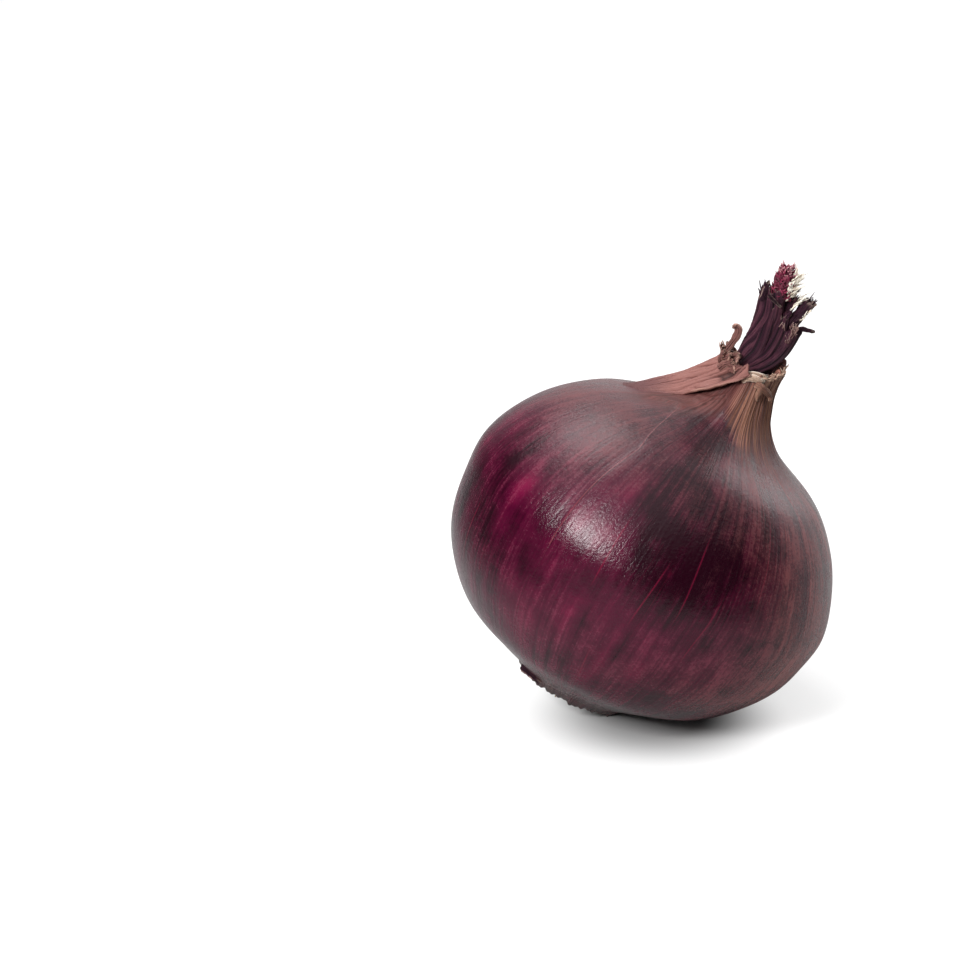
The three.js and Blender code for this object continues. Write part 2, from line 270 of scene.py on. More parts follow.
def loft(
    name: str,
    rows: int,
    columns: int,
    shape: Shape,
    marks: Callable[[Array, Array], dict[str, Array]] | None = None,
) -> bpy.types.Object:
    """Shapes a subdivided grid into a skin, and merges the edges and poles that meet.

    Args:
        name: The piece's name.
        rows: Faces along it.
        columns: Faces across or round it.
        shape: Gives the points, in millimetres, from the shares along and across.
        marks: Gives vertex attributes from the same shares.

    Returns:
        The new object.
    """
    bpy.ops.object.select_all(action="DESELECT")
    bpy.ops.mesh.primitive_grid_add(x_subdivisions=columns, y_subdivisions=rows, size=1)
    piece = bpy.context.active_object
    piece.name = piece.data.name = name
    mesh = piece.data
    flat = np.empty(len(mesh.vertices) * 3)
    mesh.vertices.foreach_get("co", flat)
    flat = flat.reshape(-1, 3)
    along, across = flat[:, 1] + 0.5, flat[:, 0] + 0.5
    if marks:
        for key, values in marks(along, across).items():
            set_attribute(mesh, key, values)
    mesh.vertices.foreach_set("co", (shape(along, across) * MM).ravel())
    close_up(piece, merge=True)
    while mesh.uv_layers:
        mesh.uv_layers.remove(mesh.uv_layers[0])
    return piece


def apply_modifier(piece: bpy.types.Object, kind: str, **settings: object) -> None:
    """Adds one modifier and applies it.

    Args:
        piece: The object to finish.
        kind: Blender's name for the modifier.
        settings: The modifier's own settings.
    """
    only(piece)
    modifier = piece.modifiers.new(kind.title(), kind)
    for key, value in settings.items():
        setattr(modifier, key, value)
    bpy.ops.object.modifier_apply(modifier=modifier.name)


def thicken(piece: bpy.types.Object, thickness: float) -> None:
    """Gives a sheet its thickness, in millimetres, half to each side."""
    apply_modifier(piece, "SOLIDIFY", thickness=thickness * MM, offset=0)


def join(name: str, pieces: Sequence[bpy.types.Object]) -> bpy.types.Object:
    """Joins objects into the first one.

    Args:
        name: The joined piece's name.
        pieces: The objects to join.

    Returns:
        The joined object.
    """
    only(pieces[0])
    for piece in pieces:
        piece.select_set(True)
    bpy.ops.object.join()
    pieces[0].name = pieces[0].data.name = name
    return pieces[0]


def hand_over(
    piece: bpy.types.Object, slot: Slot, finish: bpy.types.Material, *nodes: str
) -> bpy.types.Object:
    """Dresses a piece and fixes it to the onion.

    Args:
        piece: The finished object.
        slot: The record's slot for its finish; not used.
        finish: The material.
        nodes: The CAD nodes that it stands for.

    Returns:
        The same object.
    """
    piece.data.materials.clear()
    piece.data.materials.append(finish)
    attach(piece, "root")
    if nodes:
        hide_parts(*nodes)
    log.info("%s: %d faces", piece.name, len(piece.data.polygons))
    return piece


@dataclass(frozen=True)
class Strip:
    """A torn strip of skin or leaf: a path with a width that tapers, rolls and frays.

    Sizes are in millimetres and angles in radians.
    """

    path: tuple[Point, ...]
    wide: Point
    width: float
    tip: float = 0.5
    thick: float = 0.35
    arch: float = 0.2
    twist: float = 0.0
    ribs: int = 4
    frayed: float = 0.5
    rows: int = 24
    columns: int = 12

    def build(self, name: str, seed: int) -> bpy.types.Object:
        """Makes the strip as a thickened sheet.

        Args:
            name: The piece's name.
            seed: Sets its waves and torn end apart from other strips'.

        Returns:
            The new object.
        """
        wide = unit(np.array(self.wide, float))

        def shape(along: Array, across: Array) -> Array:
            """Bends the sheet along the path.

            Args:
                along: The shares along the piece, from 0 to 1.
                across: The shares across or round it, from 0 to 1.

            Returns:
                One point for each place, in millimetres.
            """
            at = curve_through(self.path, along)
            ahead = heading(self.path, along, 0.01)
            side = unit(wide - (ahead @ wide)[:, None] * ahead)
            face = np.cross(side, ahead)
            turn = (self.twist * along + 0.15 * np.sin(5 * along + seed))[:, None]
            side, face = (
                side * np.cos(turn) + face * np.sin(turn),
                face * np.cos(turn) - side * np.sin(turn),
            )
            x = across - 0.5
            ragged = np.sin(17 * across + seed) + 0.7 * np.sin(41 * across + 2.3 * seed)
            at = at + ahead * (self.frayed * ragged * smooth(along, 0.6, 1) * 0.5)[:, None]
            edge = 1 + 0.1 * np.sin(11 * along + seed) + 0.06 * np.sin(29 * along - seed)
            taper = 1 - (1 - self.tip) * along**1.5
            rise = self.arch * (1 - 4 * x * x) + 0.06 * np.cos(TURN * self.ribs * across)
            span = (x * self.width * taper * edge)[:, None]
            return at + side * span + face * rise[:, None]

        def marks(along: Array, across: Array) -> dict[str, Array]:
            """Marks the fibres, the painted shade between the ribs and the torn edges.

            Args:
                along: The shares along the piece, from 0 to 1.
                across: The shares across or round it, from 0 to 1.

            Returns:
                The values of each vertex attribute, by its name.
            """
            return {
                "grain": np.stack([across * 3 + seed, np.full_like(across, seed), along * 2], -1),
                "reach": along,
                "frill": np.maximum(smooth(np.abs(across - 0.5), 0.36, 0.5), smooth(along, 0.9, 1)),
                "ridge": 0.3 * np.cos(TURN * self.ribs * across),
            }

        piece = loft(name, self.rows, self.columns, shape, marks)
        thicken(piece, self.thick)
        return piece


@dataclass
class Strands:
    """A family of thin tapering strands in one mesh."""

    sides: int = 6
    steps: int = 8
    points: list[Array] = field(default_factory=list)
    faces: list[tuple[int, ...]] = field(default_factory=list)
    tones: list[Array] = field(default_factory=list)
    along: list[Array] = field(default_factory=list)

    def add(
        self,
        path: Sequence[Sequence[float]],
        radius: float,
        tip: float,
        flat: float,
        tone: float,
        pale: float = 1,
    ) -> None:
        """Adds one strand.

        Args:
            path: The points that it follows, in millimetres.
            radius: Its radius at the start.
            tip: Its radius at the end, as a share of that.
            flat: Its thickness as a share of its width.
            tone: Its own number from 0 to 1, which the finish reads.
            pale: How far its tip takes on the finish's tip colour.
        """
        t = np.linspace(0, 1, self.steps + 1)
        at = curve_through(path, t)
        ahead = unit(np.gradient(at, axis=0))
        side = unit(np.cross(ahead, [0.3, 0.9, 0.25]))
        face = np.cross(side, ahead)
        turn = np.linspace(0, TURN, self.sides, endpoint=False) + 5 * tone
        r = (radius * (1 - (1 - tip) * t**1.3))[:, None, None]
        ring = (
            at[:, None]
            + r * np.cos(turn)[None, :, None] * side[:, None]
            + r * flat * np.sin(turn)[None, :, None] * face[:, None]
        )
        start = sum(len(p) for p in self.points)
        n = self.sides
        for i in range(self.steps):
            for j in range(n):
                a, b = start + i * n + j, start + i * n + (j + 1) % n
                self.faces.append((a, b, b + n, a + n))
        self.faces.append(tuple(start + j for j in reversed(range(n))))
        self.faces.append(tuple(start + self.steps * n + j for j in range(n)))
        self.points.append(ring.reshape(-1, 3))
        self.tones.append(np.full(ring.shape[0] * n, tone))
        self.along.append(np.repeat(t * pale, n))

    def build(self, name: str) -> bpy.types.Object:
        """Makes the mesh of all the strands added so far.

        Args:
            name: The piece's name.

        Returns:
            The new object.
        """
        mesh = bpy.data.meshes.new(name)
        mesh.from_pydata(np.concatenate(self.points) * MM, [], self.faces)
        set_attribute(mesh, "tone", np.concatenate(self.tones))
        set_attribute(mesh, "reach", np.concatenate(self.along))
        piece = add_object(name, mesh)
        close_up(piece, merge=False)
        return piece


def bent(random: np.random.Generator, start: Array, end: Array, sway: float) -> list[Array]:
    """Returns a strand's path, whose middle sways by up to half of sway each way."""
    return [start, (start + end) / 2 + (random.random(3) - 0.5) * sway, end]


# Finishes


@dataclass
class Nodes:
    """A node tree, with short ways to add the nodes that the finishes and the world share."""

    tree: bpy.types.NodeTree

    def node(
        self, kind: str, inputs: dict[int | str, object] | None = None, **settings: object
    ) -> bpy.types.Node:
        """Adds a node, sets its properties and feeds its inputs.

        Args:
            kind: Blender's name for the node.
            inputs: Values or sockets by the name or place of the input.
            settings: The node's own properties.

        Returns:
            The new node.
        """
        made = self.tree.nodes.new(kind)
        for key, value in settings.items():
            setattr(made, key, value)
        for key, value in (inputs or {}).items():
            self.feed(made.inputs[key], value)
        return made

    def feed(self, socket: bpy.types.NodeSocket, value: object) -> None:
        """Links a value to an input, or sets it where it is a constant.

        Args:
            socket: The input.
            value: Another node's output, a number, a vector or a colour.
        """
        if isinstance(value, bpy.types.NodeSocket):
            self.tree.links.new(value, socket)
        elif isinstance(value, tuple) and socket.type == "RGBA":
            socket.default_value = (*value, 1)
        else:
            socket.default_value = value

    def mark(self, name: str, part: str = "Fac") -> bpy.types.NodeSocket:
        """Reads a vertex attribute, as a number or as a Vector."""
        return self.node("ShaderNodeAttribute", attribute_name=name).outputs[part]

    def place(self) -> bpy.types.NodeSocket:
        """Reads the object's own coordinates, in metres."""
        return self.node("ShaderNodeTexCoord").outputs["Object"]

    def seen(self) -> bpy.types.NodeSocket:
        """Reads 1 where the camera looks straight at a point, and 0 for all other light."""
        return self.node("ShaderNodeLightPath").outputs["Is Camera Ray"]

    def split(self, vector: object) -> object:
        """Returns the sockets of a vector's X, Y and Z."""
        return self.node("ShaderNodeSeparateXYZ", {0: vector}).outputs

    def vector(self, operation: str, a: object, b: Point = (0, 0, 0)) -> bpy.types.Node:
        """Adds a vector math node."""
        return self.node("ShaderNodeVectorMath", {0: a, 1: b}, operation=operation)

    def stretch(self, vector: object, factors: Point) -> bpy.types.NodeSocket:
        """Multiplies a vector by one factor for each axis."""
        return self.vector("MULTIPLY", vector, factors).outputs[0]

    def noise(
        self, vector: object, scale: float, detail: float = 3, rough: float = 0.5, bend: float = 0
    ) -> bpy.types.NodeSocket:
        """Adds a noise texture and returns its grey value.

        Args:
            vector: Where the noise is read.
            scale: How fine it is.
            detail: How many finer layers it has.
            rough: How strong the finer layers are.
            bend: How far it is distorted.

        Returns:
            The socket that holds the result.
        """
        inputs = {"Vector": vector, "Scale": scale, "Detail": detail}
        inputs |= {"Roughness": rough, "Distortion": bend}
        return self.node("ShaderNodeTexNoise", inputs).outputs["Fac"]

    def math(self, operation: str, a: object, b: object = 0.0) -> bpy.types.NodeSocket:
        """Adds a math node on two values."""
        return self.node("ShaderNodeMath", {0: a, 1: b}, operation=operation).outputs[0]

    def times(self, a: object, b: object) -> bpy.types.NodeSocket:
        """Multiplies two values."""
        return self.math("MULTIPLY", a, b)

    def plus(self, a: object, b: object) -> bpy.types.NodeSocket:
        """Adds two values."""
        return self.math("ADD", a, b)

    def grade(
        self, value: object, low: float, high: float, start: float = 0, end: float = 1
    ) -> bpy.types.NodeSocket:
        """Maps low to high smoothly onto start to end.

        Args:
            value: The value to map.
            low: The value that gives start.
            high: The value that gives end.
            start: The result at low.
            end: The result at high.

        Returns:
            The socket that holds the result.
        """
        inputs = dict(enumerate((value, low, high, start, end)))
        kind = "ShaderNodeMapRange"
        return self.node(kind, inputs, interpolation_type="SMOOTHSTEP").outputs[0]

    def mix(self, share: object, a: object, b: object) -> bpy.types.NodeSocket:
        """Mixes two colours by a share."""
        inputs = {"Factor": share, "A": a, "B": b}
        return self.node("ShaderNodeMix", inputs, data_type="RGBA").outputs["Result"]

    def lines(self, vector: object, scale: float, width: float) -> bpy.types.NodeSocket:
        """Draws thin wandering lines where a noise passes its middle value."""
        wave = self.math("ABSOLUTE", self.math("SUBTRACT", self.noise(vector, scale, 1.5), 0.5))
        return self.grade(wave, 0, width, 1, 0)

    def sway(
        self, base: object, *parts: tuple[bpy.types.NodeSocket, float]
    ) -> bpy.types.NodeSocket:
        """Adds noises to a base value.

        Args:
            base: The value to sway.
            parts: Noises that run round 0.5, each with its weight.

        Returns:
            The swayed value.
        """
        for value, weight in parts:
            base = self.plus(base, self.times(self.math("SUBTRACT", value, 0.5), weight))
        return base

    def relief(self, height: object, depth: float, strength: float = 1) -> bpy.types.NodeSocket:
        """Turns a height from 0 to 1 into a bumped normal, depth millimetres deep."""
        inputs = {"Strength": strength, "Distance": depth * MM, "Height": height}
        return self.node("ShaderNodeBump", inputs).outputs["Normal"]


class Shader(Nodes):
    """A material's node tree, with one Principled shader."""

    def __init__(self, name: str) -> None:
        """Starts a material.

        Args:
            name: The material's name.
        """
        self.material = bpy.data.materials.new(name)
        self.material.use_nodes = True
        super().__init__(self.material.node_tree)

    def surface(self, **inputs: object) -> bpy.types.Material:
        """Feeds the Principled shader.

        Args:
            inputs: Its inputs by name, with a line for each space.

        Returns:
            The finished material.
        """
        sockets = self.tree.nodes["Principled BSDF"].inputs
        for key, value in inputs.items():
            self.feed(sockets[key.replace("_", " ")], value)
        return self.material

    def finish(
        self, colour: object, roughness: object, normal: object, shine: float = 0.5
    ) -> bpy.types.Material:
        """Feeds the shader and returns the material.

        Args:
            colour: The base colour.
            roughness: The roughness.
            normal: The bumped normal.
            shine: The level of the mirror-like reflection.

        Returns:
            The finished material.
        """
        self.surface(Base_Color=colour, Roughness=roughness, Normal=normal)
        return self.surface(Specular_IOR_Level=shine)


@dataclass(frozen=True)
class GlossySkin:
    """The bulb's skin: deep purple red and magenta under a thin brown film, with fine veins
    that run from the root to the neck, where it dries to tan fibres."""

    dark: Colour = (0.012, 0.0006, 0.004)
    wine: Colour = (0.046, 0.0008, 0.0125)
    magenta: Colour = (0.120, 0.003, 0.028)
    film: Colour = (0.100, 0.027, 0.030)
    bleached_and_lit_film: Colour = (0.300, 0.085, 0.085)
    mauve: Colour = (0.155, 0.028, 0.054)
    ash: Colour = (0.042, 0.010, 0.015)
    husk_and_sheen: Colour = (0.110, 0.068, 0.062)
    crimson: Colour = (0.16, 0.004, 0.026)
    rose: Colour = (0.23, 0.070, 0.075)
    tan: Colour = (0.32, 0.145, 0.09)
    russet: Colour = (0.25, 0.085, 0.075)
    umber: Colour = (0.055, 0.018, 0.015)
    bark: Colour = (0.118, 0.036, 0.033)

    def build(self) -> bpy.types.Material:
        """Builds the material.

        Returns:
            The finished material.
        """
        s = Shader("glossy_onion_skin")
        grain = s.mark("grain", "Vector")
        here = s.place()
        broad = s.noise(s.stretch(grain, (2.4, 2.4, 0.7)), 1.7, 3, 0.55, 0.3)
        streaks = s.noise(s.stretch(grain, (9, 9, 0.55)), 1.8, 4, 0.62, 0.15)
        fine = s.noise(s.stretch(grain, (40, 40, 0.8)), 1.6, 3, 0.6)
        mottle = s.noise(here, 170, 4, 0.6, 0.3)
        freckle = s.noise(here, 1500, 4, 0.7)
        # Deep colour: broad patches along the bulb, broken by streaks.
        blush = s.times(s.mark("blush"), 0.2)
        depth = s.sway(blush, (broad, 0.6), (streaks, 0.4), (fine, 0.25), (mottle, 0.5))
        colour = s.mix(s.grade(depth, -0.2, 0.08), self.dark, self.wine)
        colour = s.mix(s.grade(depth, 0.02, 0.42), colour, self.magenta)
        # The thin dry film over it, brown and ashen by turns.
        brown = s.sway(0.5, (broad, -0.4), (streaks, 0.6), (fine, 0.4), (mottle, 0.5))
        brown = s.sway(brown, (freckle, 0.5))
        film = s.mix(s.grade(s.mark("reach"), 24, 46), self.mauve, self.film)
        # Partly painted light: here the film turns pale, mostly on the bulb's right side, where the
        # paleness stands in for light from the right and behind; elsewhere it is paler film.
        film = s.mix(s.mark("bleach"), film, self.bleached_and_lit_film)
        film = s.mix(s.grade(brown, 0.25, 0.75), self.ash, film)
        cover = s.mark("film")
        cover = s.sway(cover, (streaks, 0.6), (fine, 0.8), (mottle, 0.6), (freckle, 0.7))
        cover = s.grade(cover, 0.05, 1.0, 0, 0.92)
        colour = s.mix(cover, colour, film)
        # Near the root the skin turns grey brown in streaks: partly dry husk, partly a painted grey
        # sheen.
        near_root = s.grade(s.split(grain)["Z"], 0.28, 0.0, 0, 0.8)
        near_root = s.times(near_root, s.grade(fine, 0.42, 0.6))
        colour = s.mix(near_root, colour, self.husk_and_sheen)
        # Veins: faint ones all round and the bold ones that the bulb places.
        faint = s.lines(s.stretch(grain, (9, 9, 0.1)), 2.0, 0.007)
        faint = s.times(faint, s.grade(mottle, 0.45, 0.65, 0, 0.2))
        bold = s.grade(s.math("ABSOLUTE", s.mark("vein")), 0.0, 0.26, 1, 0)
        bold = s.times(bold, s.mark("glow"))
        veins = s.math("MAXIMUM", faint, bold)
        colour = s.mix(veins, colour, s.mix(cover, self.crimson, self.rose))
        # Along the edge of the outer layer: a dark line just beside it as painted shade, and a rose
        # line on the edge as painted highlight.
        seam = s.mark("seam")
        seam_shade = s.grade(s.math("ABSOLUTE", s.math("SUBTRACT", seam, 0.24)), 0.0, 0.24, 0.5, 0)
        colour = s.mix(seam_shade, colour, self.dark)
        edge = s.grade(s.math("ABSOLUTE", seam), 0.0, 0.2, 0.4, 0)
        colour = s.mix(edge, colour, self.rose)
        # The neck dries to tan fibres.
        fibre = s.noise(s.stretch(grain, (22, 22, 0.35)), 1.9, 4, 0.7)
        tan = s.mix(s.grade(s.mark("warm"), 0.2, 0.8), self.russet, self.tan)
        tan = s.mix(s.grade(fibre, 0.4, 0.6), self.umber, tan)
        dryness = s.sway(s.mark("reach"), (fibre, 12), (streaks, 8), (mottle, 8))
        dry = s.grade(dryness, 57, 67)
        colour = s.mix(dry, colour, tan)
        scuffed = s.times(s.mark("scuffed"), s.grade(mottle, 0.3, 0.5, 0.55, 1))
        colour = s.mix(scuffed, colour, s.mix(s.grade(fibre, 0.4, 0.62), self.umber, self.bark))
        rough = s.sway(0.21, (freckle, 0.3), (mottle, 0.3), (fine, 0.15))
        rough = s.plus(rough, s.times(cover, 0.1))
        rough = s.plus(rough, s.times(dry, 0.3))
        height = s.sway(0.0, (fine, 0.5), (streaks, 0.5), (freckle, 0.8), (mottle, 0.5))
        height = s.plus(height, s.times(veins, 0.12))
        height = s.plus(height, s.times(s.grade(seam, -0.1, 0.16), 0.6))
        height = s.plus(height, s.times(s.times(fibre, dry), 2.0))
        rough = s.plus(rough, s.times(scuffed, 0.4))
        return s.finish(colour, rough, s.relief(height, 0.15, 0.8), shine=0.28)


@dataclass(frozen=True)
class DrySkin:
    """Dead outer skin: matt, fibrous and pinkish brown, pale along its torn edges, with painted
    shade in its pleat and rib valleys.
    """

    name: str = "dry_outer_skin"
    pale: Colour = (0.205, 0.080, 0.067)
    rose: Colour = (0.130, 0.043, 0.036)
    umber: Colour = (0.045, 0.014, 0.012)
    torn: Colour = (0.46, 0.27, 0.21)
    grown: Colour = (0.09, 0.028, 0.030)

    def build(self) -> bpy.types.Material:
        """Builds the material.

        Returns:
            The finished material.
        """
        s = Shader(self.name)
        grain = s.mark("grain", "Vector")
        fibre = s.noise(s.stretch(grain, (9, 9, 1.0)), 3.0, 5, 0.7)
        cloud = s.noise(s.place(), 260, 4, 0.6)
        # Painted shade: the colour darkens towards umber in the valleys of the pleats and ribs and
        # pales on their crests.
        ridge = s.times(s.mark("ridge"), 0.7)
        tone = s.sway(s.plus(ridge, 0.55), (fibre, 1.1), (cloud, 0.4))
        colour = s.mix(s.grade(tone, 0.2, 0.5), self.umber, self.rose)
        colour = s.mix(s.grade(tone, 0.45, 0.75), colour, self.pale)
        colour = s.mix(s.mark("grown"), colour, self.grown)
        # The torn edges turn pale; on the fold's free edge the paleness is partly a painted
        # highlight.
        edge = s.times(s.mark("frill"), s.grade(cloud, 0.3, 0.6, 0.3, 0.8))
        colour = s.mix(edge, colour, self.torn)
        height = s.sway(0, (fibre, 1), (cloud, 0.4))
        return s.finish(colour, s.grade(cloud, 0.3, 0.7, 0.6, 0.8), s.relief(height, 0.25))


@dataclass(frozen=True)
class DarkLeaf:
    """The stem's dried leaf bases: plum, with painted shade near black in their creases and a
    painted rose highlight on their ridges.
    """

    crease_shade_black: Colour = (0.006, 0.002, 0.004)
    plum: Colour = (0.029, 0.006, 0.016)
    rose: Colour = (0.120, 0.037, 0.056)
    torn: Colour = (0.50, 0.36, 0.30)

    def build(self) -> bpy.types.Material:
        """Builds the material.

        Returns:
            The finished material.
        """
        s = Shader("dark_dried_leaf")
        grain = s.mark("grain", "Vector")
        fibre = s.noise(s.stretch(grain, (9, 9, 0.7)), 2.6, 5, 0.7)
        cloud = s.noise(s.place(), 420, 4, 0.6)
        # Painted shade and highlight: near black down in the creases, rose up on the ridges, broken
        # by fibre and cloud noise.
        tone = s.sway(s.mark("ridge"), (fibre, 1.5), (cloud, 0.7))
        colour = s.mix(s.grade(tone, -0.6, 0.2), self.crease_shade_black, self.plum)
        colour = s.mix(s.grade(tone, 0.15, 0.9), colour, self.rose)
        edge = s.times(s.mark("frill"), s.grade(cloud, 0.4, 0.6, 0.0, 0.6))
        colour = s.mix(edge, colour, self.torn)
        rough = s.grade(cloud, 0.3, 0.7, 0.5, 0.75)
        return s.finish(colour, rough, s.relief(fibre, 0.4), shine=0.2)


@dataclass(frozen=True)
class TornFlesh:
    """Strands whose own tones run between two colours, paler towards their tips."""

    name: str
    low: Colour
    high: Colour
    tip: Colour
    tip_share: float

    def build(self) -> bpy.types.Material:
        """Builds the material.

        Returns:
            The finished material.
        """
        s = Shader(self.name)
        cloud = s.noise(s.place(), 900, 3, 0.6)
        tone = s.plus(s.mark("tone"), s.math("SUBTRACT", cloud, 0.5))
        colour = s.mix(s.grade(tone, 0, 1), self.low, self.high)
        ends = s.times(s.grade(s.mark("reach"), 0.45, 1), self.tip_share)
        colour = s.mix(ends, colour, self.tip)
        return s.finish(colour, s.grade(cloud, 0.3, 0.7, 0.6, 0.8), s.relief(cloud, 0.12))


@dataclass(frozen=True)
class Cork:
    """The root plate: rough, grey brown cork."""

    dark: Colour = (0.06, 0.04, 0.03)
    pale: Colour = (0.26, 0.19, 0.13)

    def build(self) -> bpy.types.Material:
        """Builds the material.

        Returns:
            The finished material.
        """
        s = Shader("corky_root_plate")
        lumps = s.noise(s.place(), 700, 6, 0.7)
        colour = s.mix(s.grade(lumps, 0.36, 0.64), self.dark, self.pale)
        return s.finish(colour, s.grade(lumps, 0.3, 0.7, 0.75, 0.92), s.relief(lumps, 0.5))


BAND = DrySkin(
    "pale_torn_skin", (0.88, 0.73, 0.60), (0.60, 0.42, 0.31), (0.24, 0.13, 0.09), (0.93, 0.84, 0.74)
)
CORNER = DrySkin(
    "tan_torn_skin", (0.42, 0.215, 0.14), (0.24, 0.105, 0.068), (0.07, 0.026, 0.018),
    (0.52, 0.33, 0.24),
)
MAGENTA = TornFlesh(
    "magenta_shreds", (0.055, 0.002, 0.012), (0.22, 0.013, 0.052), (0.80, 0.52, 0.50), 0.7
)
CREAM = TornFlesh("cream_shards", (0.62, 0.50, 0.38), (0.92, 0.88, 0.76), (0.95, 0.93, 0.86), 0.6)
FIBRES = TornFlesh("neck_fibres", (0.09, 0.038, 0.026), (0.34, 0.18, 0.12), (0.58, 0.41, 0.31), 0.6)
PEEL = TornFlesh("peeled_skin", (0.10, 0.042, 0.042), (0.26, 0.14, 0.12), (0.46, 0.33, 0.28), 0.6)
DRY_ROOT = TornFlesh("dry_roots", (0.12, 0.08, 0.05), (0.36, 0.28, 0.18), (0.2, 0.14, 0.09), 0.4)


# The onion's parts


@dataclass(frozen=True)
class Blot:
    """A patch on the skin: where its middle is, how far it spreads and how strong it is."""

    reach: float
    degrees: float
    long: float
    wide: float
    strength: float

    def cast(self, s: Array, degrees: Array) -> Array:
        """Spreads the patch over the skin.

        Args:
            s: Distances along the axis, in millimetres.
            degrees: Angles round the axis, in degrees.

        Returns:
            The patch's strength there.
        """
        turn = (degrees - self.degrees + 180) % 360 - 180
        arc = np.radians(turn) * FORM.radius(s)
        return self.strength * bell(s, self.reach, self.long) * bell(arc, 0, self.wide)


@dataclass(frozen=True)
class Vein:
    """A bold vein: its angle round the bulb and the stretch of the axis that it runs along."""

    degrees: float
    start: float
    end: float
    strength: float = 0.8

    def cast(self, s: Array, degrees: Array) -> tuple[Array, Array]:
        """Finds the vein from places on the skin.

        Args:
            s: Distances along the axis, in millimetres.
            degrees: Angles round the axis, in degrees.

        Returns:
            The distances across the skin to the vein, and the vein's strength there.
        """
        bend = self.degrees + 0.8 * np.sin(s / 7 + self.degrees)
        arc = np.radians((degrees - bend + 180) % 360 - 180) * FORM.radius(s)
        ends = smooth(s, self.start, self.start + 5) * (1 - smooth(s, self.end - 5, self.end))
        return arc, self.strength * ends * (1 - smooth(np.abs(arc), 0.9, 1.6))


